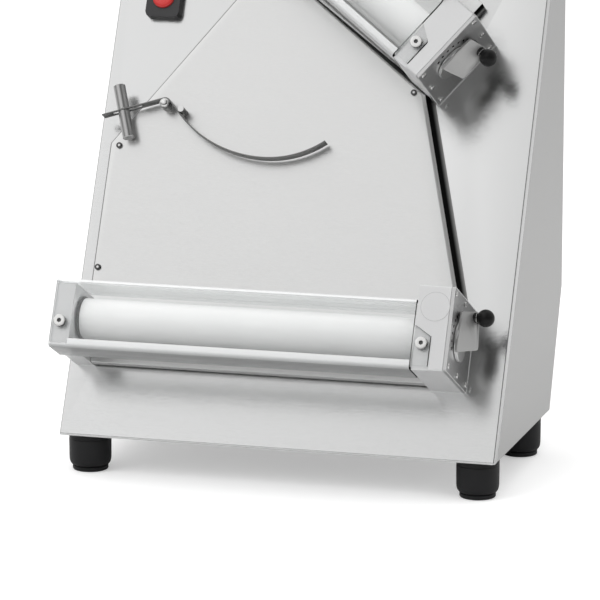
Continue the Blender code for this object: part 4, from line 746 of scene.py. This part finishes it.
# %% [markdown]
# Whatever was turned on a lathe is made the same way here. Its half outline is drawn as a
# chain of edges from the axis outwards and back, and the chain is spun once round the axis.
# The seam is merged, and the normals are recalculated because a spin can turn them inwards.

# %% A lathe
FULL_TURN = math.radians(360)
LARGE_ROUND = 96
FOOT_ROUND = 72
ROUND = 64
SMALL_ROUND = 48


def drawn(points):
    """Edit mode: a chain of edges through points in millimetres, all of it selected."""
    obj = fresh(bpy.ops.mesh.primitive_plane_add, size=1)
    edit_all('VERT')
    bpy.ops.mesh.merge(type='CENTER')
    bpy.ops.transform.translate(value=tuple(c * MM for c in points[0]))
    for point, last in zip(points[1:], points):
        step = (Vector(point) - Vector(last)) * MM
        bpy.ops.mesh.extrude_vertices_move(TRANSFORM_OT_translate={"value": tuple(step)})
    bpy.ops.mesh.select_all(action='SELECT')
    return obj


def close_up(threshold):
    """Merges the seams, turns all faces outwards and leaves edit mode."""
    bpy.ops.mesh.select_all(action='SELECT')
    bpy.ops.mesh.remove_doubles(threshold=threshold * MM)
    bpy.ops.mesh.normals_make_consistent(inside=False)
    bpy.ops.object.mode_set(mode='OBJECT')


def turned_on_lathe(profile, steps=ROUND):
    """A profile of (radius, height) points in millimetres, spun round Z from one edge chain."""
    obj = drawn([(radius, 0, height) for radius, height in profile])
    bpy.ops.mesh.spin(steps=steps, angle=FULL_TURN, center=(0, 0, 0), axis=(0, 0, 1))
    close_up(0.002)
    return obj


print("lathe steps:", SMALL_ROUND, "to", LARGE_ROUND)

# %% [markdown]
# The rollers are what the photograph shows brightest. Each is a plain bar with a bore and
# slightly rounded ends. A black disc stands at the front one's left end, and it moves with
# the bearings when the lever sets the gap.

# %% Rollers and end discs
ROLLER_RADIUS = 25
ROLLER_RIGHT = -44.1
ROLLER_LEFT = 24 + 3.6
ROLLER_END = ((1.4, 0), (0.6, 0.25), (0.15, 0.7), (0, 1.4))
FRONT_OUT = 72
REAR_OUT = 17.5
ROWS = (("front", FRONT_OUT, 11.3), ("rear", REAR_OUT, 8.3))
DISC_LEFT = 24.25
END_DISC = ((11.5, 0), (26.2, 0), (26.9, 0.7), (26.9, 2.5), (26.2, 3.15), (11.5, 3.15), (11.5, 0))


def roller_profile(bore, left, right):
    """A bar with a bore, whose two ends are rounded in three small steps."""
    right_end = [(ROLLER_RADIUS - inward, right - along) for inward, along in ROLLER_END]
    left_end = [(ROLLER_RADIUS - inward, left + along) for inward, along in reversed(ROLLER_END)]
    return [(bore, right), *right_end, *left_end, (bore, left), (bore, right)]


for head, (plane, length) in HEADS.items():
    for row, out, bore in ROWS:
        roller = turned_on_lathe(roller_profile(bore, ROLLER_LEFT - length, ROLLER_RIGHT), LARGE_ROUND)
        name = f"{head}_{row}_roller"
        settle(roller, name + "_turned", at(plane, 0, AXIS_UP, out) @ ALONG_X, roller_white,
               f"{head}_{row}", name)
    ring = turned_on_lathe([(radius, DISC_LEFT - length + along) for radius, along in END_DISC], LARGE_ROUND)
    settle(ring, head + "_end_disc", at(plane, 0, AXIS_UP, FRONT_OUT) @ ALONG_X, bearing_black,
           head + "_carriage")
print("rollers turned, radius", ROLLER_RADIUS)

# %% [markdown]
# The guard is one clear sheet, folded along its foot and its top. A strip of faces is
# extruded along the head, its folds are rounded, and only then does it get its thickness.
# Milled edges and folds are whiter, as milled acrylic scatters light. The low strip of the front wall takes
# the same whiter finish and the foot a white haze, both a painted sheen of light, and the right edge is
# painted dark as shade, because it stands in the narrow gap beside the gear block.

# %% Clear guards
GUARD_WALL = 4
GUARD_BEND = 5
GUARD_FRONT = 115
GUARD_TOP = 86
GUARD_FOOT_BACK = 68
GUARD_RIGHT = -45.2
TOP_FLANGE = (GUARD_TOP, 50)
HOPPER_LIP = (115, 128)
PAINTED_SHEEN_UP = 11
LEFT_BLOCK_WIDTH = 24
EDGE_SLOT = 1
FOOT_SLOT = 2
SEAM_SLOT = 3


def folded_guard(line, left, right, bend):
    """A line of (up, out) points, extruded along the head and folded with round bends."""
    obj = drawn([(left, up, out) for up, out in line])
    edit_all('EDGE')
    bpy.ops.mesh.extrude_edges_move(TRANSFORM_OT_translate={"value": ((right - left) * MM, 0, 0)})
    fold_places = [place for place in line[1:-1] if place[0] != PAINTED_SHEEN_UP]

    def on_fold(edge):
        middle = (edge.verts[0].co + edge.verts[1].co) / 2
        along = abs(edge.verts[0].co.x - edge.verts[1].co.x) > MM
        return along and any((middle.yz - Vector(place) * MM).length < 0.1 * MM for place in fold_places)

    pick_edges(on_fold)
    bpy.ops.mesh.bevel(offset=bend * MM, segments=8, affect='EDGES')
    bpy.ops.mesh.select_all(action='SELECT')
    bpy.ops.mesh.normals_make_consistent(inside=False)
    bpy.ops.object.mode_set(mode='OBJECT')
    return obj


def guard_slot(face, block_side):
    """The finish of one face of the guard, as its place in the list of materials."""
    across = abs(face.normal.x) > 0.9
    level = abs(face.normal.z) > 0.9
    foot_edge = level and face.center.z < (GUARD_FOOT_BACK + 1) * MM
    on_bend = abs(face.normal.x) < 0.1 and max(abs(face.normal.y), abs(face.normal.z)) < 0.96
    # The low strip of the front wall takes the whiter edge finish as a painted sheen.
    low_front_wall = level and face.center.y < PAINTED_SHEEN_UP * MM and face.center.z > 100 * MM
    painted_sheen_strip = low_front_wall and face.center.x > block_side * MM
    # The right edge takes painted shade.
    if face.normal.x > 0.9:
        return SEAM_SLOT
    if across or foot_edge or on_bend or painted_sheen_strip:
        return EDGE_SLOT
    return FOOT_SLOT if face.center.y < GUARD_BEND * MM else 0


def clear_guard(head, left):
    """The whole folded sheet of one head, with its four finishes."""
    line = [(0, GUARD_FOOT_BACK), (0, GUARD_FRONT), (PAINTED_SHEEN_UP, GUARD_FRONT), (GUARD_TOP, GUARD_FRONT)]
    line.append(TOP_FLANGE if head == "lower" else HOPPER_LIP)
    guard = folded_guard(line, left, GUARD_RIGHT, GUARD_BEND)
    faces_out = sum(face.normal.z for face in guard.data.polygons) > 0
    rounded_by(thickened(guard, GUARD_WALL, -1 if faces_out else 1), 0.4, 2, 60)
    block_side = left + LEFT_BLOCK_WIDTH
    edit_all('EDGE')
    bpy.ops.mesh.bisect(plane_co=(block_side * MM, 0, 0), plane_no=(1, 0, 0))
    bpy.ops.object.mode_set(mode='OBJECT')
    for finish in (guard_clear, guard_frost_and_painted_sheen, guard_foot_painted_sheen, gap_painted_shade):
        guard.data.materials.append(finish)
    for face in guard.data.polygons:
        face.material_index = guard_slot(face, block_side)
    return guard


print("guard bends:", GUARD_BEND, "mm round")

# %% [markdown]
# At its right end the guard has a tab with one cut corner, which the screw goes through. It lies in the pocket
# of the gear block, so its upright sides are painted dark too, as shade.

# %% Guards and their tabs
TAB_SIZE = (21.8, 48.6, 4)
TAB_MIDDLE = (-34.3, 29.3, 113)
TAB_CORNER = 13.2


def guard_tab():
    """A small plate with one corner cut off, at its place in the head."""
    tab = fresh(bpy.ops.mesh.primitive_cube_add, size=1)
    tab.scale = tuple(size * MM for size in TAB_SIZE)
    tab.location = tuple(place * MM for place in TAB_MIDDLE)
    bpy.ops.object.transform_apply(location=True, rotation=True, scale=True)
    bpy.ops.object.mode_set(mode='EDIT')
    pick_edges(lambda edge: all(v.co.y > 50 * MM and v.co.x > -30 * MM for v in edge.verts))
    bpy.ops.mesh.bevel(offset=TAB_CORNER * MM, offset_type='OFFSET', segments=1, affect='EDGES')
    bpy.ops.object.mode_set(mode='OBJECT')
    return rounded_by(tab, 0.3, 2, 30)


for head, (plane, length) in HEADS.items():
    settle(clear_guard(head, -length), head + "_guard_folded", plane, None, "housing", head + "_guard")
    tab = settle(guard_tab(), head + "_guard_tab", plane, guard_clear, "housing")
    # The tab's right-facing sides take painted shade.
    second_finish(tab, gap_painted_shade, lambda place, normal: normal.x > 0.3 and abs(normal.z) < 0.3, plane)
print("guards folded:", len(HEADS))

# %% [markdown]
# Screws are modelled once for each kind, with a rounded head and a six-sided socket, and then
# copied to every place, each copy with its own mesh. The socket is cut by a six-sided bar.


# %% One screw of each kind
def disc(radius, depth, steps=ROUND):
    """A cylinder along Z whose foot is at the origin, left in object mode."""
    bar = fresh(bpy.ops.mesh.primitive_cylinder_add, vertices=steps, radius=radius * MM,
                depth=depth * MM, location=(0, 0, depth * MM / 2))
    bpy.ops.object.transform_apply(location=True, rotation=True, scale=True)
    return bar


def cut_by(obj, cutter, name):
    """Takes the cutter's shape out of an object, and removes the cutter."""
    alone(obj)
    cut = obj.modifiers.new(name, 'BOOLEAN')
    cut.object = cutter
    cut.solver = 'EXACT'
    bpy.ops.object.modifier_apply(modifier=cut.name)
    bpy.data.objects.remove(cutter, do_unlink=True)


def socket_in_top(hole_radius, hole_depth, rim_in):
    """A six-sided socket in the topmost face of the active object."""
    obj = bpy.context.object
    bpy.ops.object.mode_set(mode='EDIT')
    top = max(vertex.co.z for vertex in obj.data.vertices)
    pick_faces(lambda face: face.calc_center_median().z > top - 0.01 * MM)
    bpy.ops.mesh.inset(thickness=rim_in * MM)
    bpy.ops.object.mode_set(mode='OBJECT')
    cutter = fresh(bpy.ops.mesh.primitive_cylinder_add, vertices=6, radius=hole_radius * MM,
                   depth=2 * hole_depth * MM, location=(0, 0, top))
    cut_by(obj, cutter, "socket")


def first_screw(name, head, edge, socket, finish):
    """A screw head at the origin: (radius, height), its round, its socket and its finish."""
    screw = rounded_by(disc(*head), edge, 3)
    socket_in_top(*socket)
    return settle(screw, name, Matrix.Identity(4), finish, "housing")


guard_screw = first_screw("guard_screw_first", (7.5, 3.6), 0.6, (2.9, 1.8, 2.2), bright_steel)
# The socket and the side of the guard screw's head take the dark finish: painted shade in the socket and a
# painted shadow round the head.
guard_screw.data.materials.append(dark_screw_and_painted_shade)
for face in guard_screw.data.polygons:
    reach = face.center.xy.length
    in_socket = reach < 3.1 * MM and face.center.z < 3.5 * MM
    on_side = reach > 7.2 * MM and abs(face.normal.z) < 0.3
    face.material_index = 1 if in_socket or on_side else 0
small_screw = first_screw("small_screw_first", (3.45, 2.3, SMALL_ROUND), 0.7, (1.5, 1.0, 0.9), bright_steel)
plate_screw = first_screw("plate_screw_first", (3.85, 2.6, SMALL_ROUND), 0.8, (1.7, 1.2, 1.0), dark_screw_and_painted_shade)
print("faces of a guard screw:", len(guard_screw.data.polygons))

# %% [markdown]
# The large flat screws hold the guard, the small bright ones close the gear block, and the
# dark ones hold the chute plate and the back. The three first ones are removed at the end.

# %% All screws
GUARD_SCREW_SIDES = {"left": 11.1, "right": -33.1}
GUARD_SCREW_UP = 31.9
GUARD_SCREW_OUT = 115.3
END_SCREW_ROWS = (("low", 8), ("high", 96))
END_SCREWS_OUT = (12, 60, 108)
CHUTE_SCREWS = ((-244.5, 370.7), (-250.5, 212.4), (126.1, 457), (-86, 598))
COVER_SCREW_ACROSS = 262
COVER_SCREW_HEIGHTS = (232, 448, 664)
BACK_PLANE = 362
FACING_BACK = Matrix.Rotation(-QUARTER, 4, 'X')


def another(obj, name, place, body):
    """A copy of a finished piece with its own mesh, at another place."""
    copy = obj.copy()
    copy.data = obj.data.copy()
    copy.name = name
    copy.parent = None
    bpy.context.scene.collection.objects.link(copy)
    copy.data.transform(place)
    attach(copy, body)
    return copy


for head, (plane, length) in HEADS.items():
    for side, across in GUARD_SCREW_SIDES.items():
        name = f"{head}_guard_screw_{side}"
        from_right = across - length if side == "left" else across
        place = at(plane, from_right, GUARD_SCREW_UP, GUARD_SCREW_OUT)
        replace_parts(another(guard_screw, name + "_turned", place, "housing"), name)
    for row, up in END_SCREW_ROWS:
        for index, out in enumerate(END_SCREWS_OUT):
            name = f"{head}_end_screw_{row}_{index + 1}"
            another(small_screw, name, at(plane, 0, up, out) @ ALONG_X, "housing")
for index, (across, up) in enumerate(CHUTE_SCREWS):
    another(plate_screw, f"chute_screw_{index + 1}", at(panel, across, up, CHUTE_RISE), "housing")
for side, across in (("left", -COVER_SCREW_ACROSS), ("right", COVER_SCREW_ACROSS)):
    for index, height in enumerate(COVER_SCREW_HEIGHTS):
        place = at(room, across, BACK_PLANE, height) @ FACING_BACK
        another(plate_screw, f"cover_screw_{side}_{index + 1}", place, "housing")
for first in (guard_screw, small_screw, plate_screw):
    bpy.data.objects.remove(first, do_unlink=True)
print("screws placed")

# %% [markdown]
# A thin blank disc is set into the corner of the lower gear block. It is only a shade apart
# from the block, so its outline is a hairline: the inset rim takes the end plate's finish.

# %% Blank disc
DISC_PLACE = (-21.6, 77.7, 115)
LARGEST_RIM_FACE = 0.0001
cover_disc = disc(18, 0.3, LARGE_ROUND)
bpy.ops.object.mode_set(mode='EDIT')
pick_faces(lambda face: face.normal.z > 0.9)
bpy.ops.mesh.inset(thickness=0.55 * MM)
bpy.ops.object.mode_set(mode='OBJECT')
settle(cover_disc, "blank_disc", at(lower_head, *DISC_PLACE), cast_light, "housing")
cover_disc.data.materials.append(end_light)
for face in cover_disc.data.polygons:
    face.material_index = 1 if face.area < LARGEST_RIM_FACE else 0
print("blank disc faces:", len(cover_disc.data.polygons))

# %% [markdown]
# ## The gap lever
# The lever is a turned hub with a folded blade for the thumb, which widens towards its foot.
# On the blade sits the sleeve of a spring plunger, whose black ball is pulled to move the
# lever from one notch to the next. The ball rides on the plunger's body, the rest on the
# lever's.

# %% Levers
LEVER_REST = math.radians(100.5)
FLARE = 3
HUB = [(0, 0.55), (23.7, 0.55), (24.1, 1.0), (24.1, 4.1), (23.5, 4.65), (0, 4.65)]
SLEEVE = [(3.3, 1.2), (6.1, 1.2), (6.1, 17.6), (5.4, 18.7), (3.3, 18.7), (3.3, 1.2)]
BALL_RADIUS = 10.8
BALL_OUT = 28.9
BALL_STEP = 5.6
BALL_TOP = BALL_OUT + BALL_RADIUS
PLUNGER_PIN = [(4.9, 19.2), (4.9, 18.8), (3.0, 18.8), (3.0, 3.3), (1.7, 0.3), (0, 0.3)]


def flared_blade(plane):
    """Draws the blade's lower outer corner out, in the sizes of one head."""
    to_head = plane.inverted()
    outward = plane.to_3x3() @ Vector((FLARE * MM, 0, 0))

    def shaped(obj):
        shape = bmesh.from_edit_mesh(obj.data)
        for vertex in shape.verts:
            place = to_head @ vertex.co
            if place.x > 14 * MM and place.y < 45 * MM:
                vertex.co += outward
        bmesh.update_edit_mesh(obj.data)
    return shaped


def on_ball(step):
    """One point of the ball's outline, counted down from its top."""
    turn = QUARTER - math.radians(step * BALL_STEP)
    return BALL_RADIUS * math.cos(turn), BALL_OUT + BALL_RADIUS * math.sin(turn)


KNOB = [(0, BALL_TOP), (1.2, BALL_TOP - 0.1), *[on_ball(step) for step in range(2, 27)], *PLUNGER_PIN]
for head, (plane, length) in HEADS.items():
    axis = at(plane, 0, AXIS_UP, LEVER_OUT)
    dress(head + "_adjusting_lever", 0.35, blade_grey, 2, 50, smooth=35, shaped=flared_blade(plane))
    hub = turned_on_lathe(HUB, LARGE_ROUND)
    settle(hub, head + "_lever_hub", axis @ ALONG_X, hub_steel, head + "_lever")
    up = DETENT_REACH * math.sin(LEVER_REST)
    out = DETENT_REACH * math.cos(LEVER_REST)
    grip = at(axis, 0, up, out) @ ALONG_X
    sleeve = turned_on_lathe(SLEEVE, SMALL_ROUND)
    # The sleeve takes the near-black shaded_fold finish, painted shade under the ball.
    settle(sleeve, head + "_plunger_sleeve", grip, shaded_fold, head + "_lever")
    knob = turned_on_lathe(KNOB)
    settle(knob, head + "_index_knob_ball", grip, black_gloss, head + "_plunger", head + "_index_knob",
           smooth=40)
print("levers made, ball", 2 * BALL_RADIUS, "mm across")

# %% [markdown]
# ## The balance arm
# One flat bar makes the whole arm: a slotted strip on the left, a turn over the hub, and a
# long sweep on the right. The bar's cross-section is a face that is extruded along the
# straight runs and spun round the bends, so the sweep is as smooth as bent steel.

# %% The bent bar
PIVOT = (-186.9, 423.1)
WRAP = 6.5
STRAP = 1.5
STRAP_LOW = 21.5
STRAP_HIGH = 35.5
ARM_SLOPE = math.radians(18.2)
STRAP_SLOPE = math.radians(48)
STRIP_RUN = 82
STRAIGHT_RUN = 21
WIDE_SWEEP = 160
TIGHT_SWEEP = 125
TIGHT_TURN = math.radians(37)
ROUND_Z = {"axis": (0, 0, 1)}
outward = Vector((-math.cos(ARM_SLOPE), -math.sin(ARM_SLOPE), 0))
away = Vector((-math.sin(ARM_SLOPE), math.cos(ARM_SLOPE), 0))
down = Vector((math.cos(STRAP_SLOPE), -math.sin(STRAP_SLOPE), 0))
off_strap = Vector((math.sin(STRAP_SLOPE), math.cos(STRAP_SLOPE), 0))
middle_out = Vector((0, 0, (STRAP_LOW + STRAP_HIGH) / 2))


def bent_bar():
    """Extrudes and spins one cross-section through the whole arm, about the pivot."""
    start = away * (WRAP + STRAP / 2) + outward * STRIP_RUN
    obj = fresh(bpy.ops.mesh.primitive_plane_add, size=1)
    sides = (away * STRAP * MM, Vector((0, 0, STRAP_HIGH - STRAP_LOW)) * MM, -outward * MM)
    obj.matrix_world = Matrix.Translation((start + middle_out) * MM) @ Matrix(sides).transposed().to_4x4()
    bpy.ops.object.transform_apply(location=True, rotation=True, scale=True)
    edit_all('FACE')
    bpy.ops.mesh.extrude_region_move(TRANSFORM_OT_translate={"value": tuple(-outward * STRIP_RUN * MM)})
    bpy.ops.mesh.spin(steps=10, angle=ARM_SLOPE + STRAP_SLOPE, center=(0, 0, 0), **ROUND_Z)
    bpy.ops.mesh.extrude_region_move(TRANSFORM_OT_translate={"value": tuple(down * STRAIGHT_RUN * MM)})
    wide = off_strap * (WRAP + WIDE_SWEEP) + down * STRAIGHT_RUN
    bpy.ops.mesh.spin(steps=40, angle=-STRAP_SLOPE, center=tuple(wide * MM), **ROUND_Z)
    tight = wide + Vector((0, TIGHT_SWEEP - WIDE_SWEEP, 0))
    bpy.ops.mesh.spin(steps=32, angle=-TIGHT_TURN, center=tuple(tight * MM), **ROUND_Z)
    close_up(0.005)
    return obj


arm = bent_bar()
print("bar faces:", len(arm.data.polygons))

# %% [markdown]
# The weight slides in a slot of the left strip. The slot's shape is a cylinder whose one
# half is drawn out sideways, which leaves both ends round. The hub is a short tube in the
# turn of the bar.

# %% Slot and hub
SLOT_RADIUS = 3.3
SLOT_RUN = 32.4
SLOT_START = 33.3
HUB_TUBE = [(4.3, 21.7), (6.45, 21.7), (6.45, 35.3), (4.3, 35.3), (4.3, 21.7)]


def slot_cutter():
    """A round-ended bar for the slot in the left strip."""
    cutter = disc(SLOT_RADIUS, 8, 32)
    bpy.ops.object.mode_set(mode='EDIT')
    pick_faces(lambda face: face.normal.y > 0.01 and abs(face.normal.z) < 0.5)
    bpy.ops.mesh.extrude_region_move(TRANSFORM_OT_translate={"value": (0, SLOT_RUN * MM, 0)})
    bpy.ops.object.mode_set(mode='OBJECT')
    return cutter


arm_axis = at(panel, *PIVOT, 0)
strip_frame = Matrix((Vector((0, 0, -1)), outward, away)).transposed().to_4x4()
cutter = slot_cutter()
cutter.matrix_world = Matrix.Translation((middle_out + outward * SLOT_START + away * 3) * MM) @ strip_frame
cut_by(arm, cutter, "slot")
rounded_by(arm, 0.25, 2, 50)
settle(arm, "balance_bar", arm_axis, strap_steel, "arm", "balance_arm")
settle(turned_on_lathe(HUB_TUBE), "balance_hub", arm_axis, turned_steel, "arm")
print("slot run:", SLOT_RUN, "mm")

# %% [markdown]
# The weight is two turned bars screwed together through the slot, so it can be slid and
# clamped. The pivot is a stud with a washer and a domed nut, and a plain stud stops the arm.

# %% Weight, pivot and stop
WEIGHT_OUT = 54.7
FACE_UP = WRAP + STRAP + 0.3
FACE_DOWN = WRAP - 0.3
UPPER_BAR = [(0, 33), (6.7, 33), (7.5, 32.2), (7.5, 0.4), (7.1, 0), (3, 0)]
LOWER_BAR = [(3, 0), (7.1, 0), (7.5, -0.4), (7.5, -35.2), (6.7, -36), (0, -36)]
PIVOT_STUD = [(0, 39.8), (2.2, 39.7), (4.0, 39.1), (5.0, 38.4), (5.3, 37.6), (6.0, 37.4), (6.0, 35.8),
              (4.0, 35.8), (4.0, 21.2), (6.0, 21.2), (6.0, 17.3), (0, 17.3)]
STOP_STUD = [(0, 38.0), (3.3, 38.0), (4.05, 37.3), (4.05, 17.1), (0, 17.1)]
weight_place = arm_axis @ Matrix.Translation((middle_out + outward * WEIGHT_OUT) * MM) @ strip_frame
weight_outline = [(radius, FACE_UP + along) for radius, along in UPPER_BAR]
weight_outline += [(radius, FACE_DOWN + along) for radius, along in LOWER_BAR]
settle(turned_on_lathe(weight_outline), "weight_bars", weight_place, weight_steel, "weight", "counterweight")
settle(turned_on_lathe(PIVOT_STUD), "pivot_stud", arm_axis, bright_steel, "housing", "balance_pivot")
stop_place = down * 20 + off_strap * (WRAP + STRAP + 4.3)
stop = turned_on_lathe(STOP_STUD, SMALL_ROUND)
settle(stop, "stop_stud_turned", arm_axis @ Matrix.Translation(stop_place * MM), turned_steel, "housing")
print("arm and weight made")

# %% [markdown]
# ## Feet
# Each foot is a black cup with a rounded lower edge and a groove under its top, and below it
# the glide that screws in and out of it.

# %% Feet
FOOT_PLACES = {"front_left": (-248, 35.6), "front_right": (248, 35.6), "rear_left": (-248, 258),
               "rear_right": (248, 258)}
CUP = [(0, 48.5), (25.6, 48.5), (26.4, 47.7), (26.4, 42.0), (25.9, 41.4), (25.9, 40.4), (26.4, 39.8),
       (26.2, 16.0), (25.9, 12.5), (25.0, 9.4), (23.4, 7.2), (21.2, 6.0), (19.5, 5.8), (6.3, 5.8),
       (6.3, 36.3), (0, 36.3)]
GLIDE = [(0, 36.0), (6, 36.0), (6, 5.5), (21.6, 5.5), (22.2, 4.9), (22.2, 1.4), (21.6, 0.4), (20.8, 0.0),
         (0, 0.0)]
for name, (across, back) in FOOT_PLACES.items():
    place = at(room, across, back, 0)
    for part, outline, body in (("foot_cup_", CUP, "housing"), ("foot_glide_", GLIDE, name + "_glide")):
        moulding = turned_on_lathe(outline, FOOT_ROUND)
        settle(moulding, part + name + "_moulded", place, black_rubber, body, part + name)
print("feet made:", len(FOOT_PLACES))

# %% [markdown]
# ## Controls, cable inlet and drive
# The two push buttons are domed caps in a black housing, and the cable inlet at the back is a
# black gland with a domed nut. The drive inside the body keeps its CAD shapes.

# %% Controls, inlet and drive
BUTTONS = (("start_button", 611, signal_green, "start"), ("stop_button", 569, signal_red, "stop"))
BUTTON_ACROSS = -215
CAP = [(0, 16.0), (6, 15.9), (10, 15.6), (12.4, 15.1), (13.5, 14.4), (14, 13.4), (14, 6.3), (0, 6.3)]
GLAND = [(0, 3), (4, 3), (4, 18), (7.2, 18), (8.8, 17.2), (9.8, 15.2), (10, 13), (10, 5), (13, 5), (13, 0.3),
         (8, 0.3), (8, -10), (0, -10)]
GLAND_ACROSS = -200
GLAND_HEIGHT = 230
DRIVE = {"motor": motor_paint, "gearbox": cast_light, "drive_pulley": turned_steel,
         "relay_shaft": turned_steel, "relay_bracket": back_sheet, "lower_belt": belt_orange,
         "riser_belt": belt_orange, "upper_belt": belt_orange}
dress("switch_housing", 0.8, bearing_black, 3)
for name, up, finish, body in BUTTONS:
    cap = turned_on_lathe(CAP, FOOT_ROUND)
    settle(cap, name + "_cap", at(panel, BUTTON_ACROSS, up, 0), finish, body, name)
gland = turned_on_lathe(GLAND, SMALL_ROUND)
gland_place = at(room, GLAND_ACROSS, BACK_PLANE, GLAND_HEIGHT) @ FACING_BACK
settle(gland, "gland_nut", gland_place, bearing_black, "housing", "cable_gland")
for node, finish in DRIVE.items():
    repaint(node, finish)
print("controls made, drive painted:", len(DRIVE))

# %% [markdown]
# ## The studio
# A white floor and a white surround make the photograph's background, and they show it to
# straight rays, mirrors and glass alike. For scattered light the floor is greyer, so that it
# doesn't fill the shadows under the machine.

# %% Floor
WHITE = (1, 1, 1)
BLACK = (0, 0, 0)
FLOOR_GREY = 0.8
DARKER_TO_SCATTER = 0.53
DARKER_TO_MIRRORS = 0.12
floor = fresh(bpy.ops.mesh.primitive_plane_add, size=60, location=(0, 0, -0.5 * MM))
floor.name = "studio_floor"


def ray_kinds(finish):
    """1 for the rays that show a background straight or through glass, that mirror, and that scatter."""
    path = finish.node('ShaderNodeLightPath')
    kinds = [Value(finish, path.outputs[f"Is {kind} Ray"]) for kind in ("Camera", "Transmission")]
    mirrored = Value(finish, path.outputs["Is Glossy Ray"])
    return kinds[0] + kinds[1], mirrored, Value(finish, path.outputs["Is Diffuse Ray"])


floor_finish = Finish("studio_floor")
straight, mirrored, scattered = ray_kinds(floor_finish)
share = FLOOR_GREY - scattered * DARKER_TO_SCATTER - mirrored * DARKER_TO_MIRRORS
floor_finish.set(Base_Color=floor_finish.mix(share, BLACK, WHITE), Roughness=0.9, Specular_IOR_Level=0.0)
floor_finish.set(Emission_Color=floor_finish.mix(straight, BLACK, WHITE), Emission_Strength=0.35)
floor.data.materials.append(floor_finish.material)
print("floor laid")

# %% [markdown]
# What the metal mirrors matters more than the lamps. It sees white in front and to the left,
# a dark screen to the right in front that gives the edges their black lines, grey beyond
# that screen, and a greyer room behind. Low in front it is darker too, as over a dark bench.
# Each of these is one straight change along an axis of the world, and they multiply.

# %% Surround
SCATTERED_WHITE = 0.92
world = bpy.data.worlds.new("studio")
bpy.context.scene.world = world
world.use_nodes = True
surround = Finish("surround", world.node_tree)
straight, mirrored, _ = ray_kinds(surround)
direction = surround.node('ShaderNodeTexCoord').outputs["Generated"]
sides = surround.node('ShaderNodeSeparateXYZ', {0: direction}).outputs
in_front = surround.ramp(sides["Y"], 0.1, -0.1)
front_left = surround.ramp(sides["X"], -0.33, -0.225, 1.06, 0.82)
dark_screen = surround.ramp(sides["X"], 0.0, 0.25, 1.0, 0.03)
beyond_screen = surround.ramp(sides["X"], 0.4, 0.62, 0.0, 0.5)
low_front = surround.ramp(sides["Z"], 0.15, 0.55, 0.05, 1.0)
behind = surround.ramp(sides["X"], -0.2, 0.4, 1.0, 0.6)
front_room = in_front * front_left * (dark_screen + beyond_screen) * low_front
mirrored_room = front_room + (1 - in_front) * behind
eyes = straight.at_most(1.0)
strength = eyes + (1 - eyes) * (mirrored * mirrored_room + (1 - mirrored) * SCATTERED_WHITE)
background = world.node_tree.nodes["Background"]
background.inputs["Color"].default_value = (*WHITE, 1)
surround.put(background.inputs["Strength"], strength)
print("surround nodes:", len(world.node_tree.nodes))

# %% [markdown]
# Two large soft lamps give the shape its light: the key from the upper left, and a weaker one
# from above. They are kept out of mirror images, because the surround draws those.

# %% Lamps
LAMP_AIM = (0, 0, 0.3)


def softbox(name, place, size, power):
    """A square lamp that looks at the machine's middle."""
    lamp = fresh(bpy.ops.object.light_add, type='AREA', location=place)
    lamp.name = name
    lamp.data.size = size
    lamp.data.energy = power
    aim = Vector(LAMP_AIM) - Vector(place)
    lamp.rotation_euler = aim.to_track_quat('-Z', 'Y').to_euler()
    lamp.visible_glossy = False


softbox("key_left", (-2.2, -2.6, 2.8), 2.6, 55)
softbox("fill_top", (0.3, -0.6, 3.4), 3.0, 30)
print("lamps:", len(bpy.data.lights))
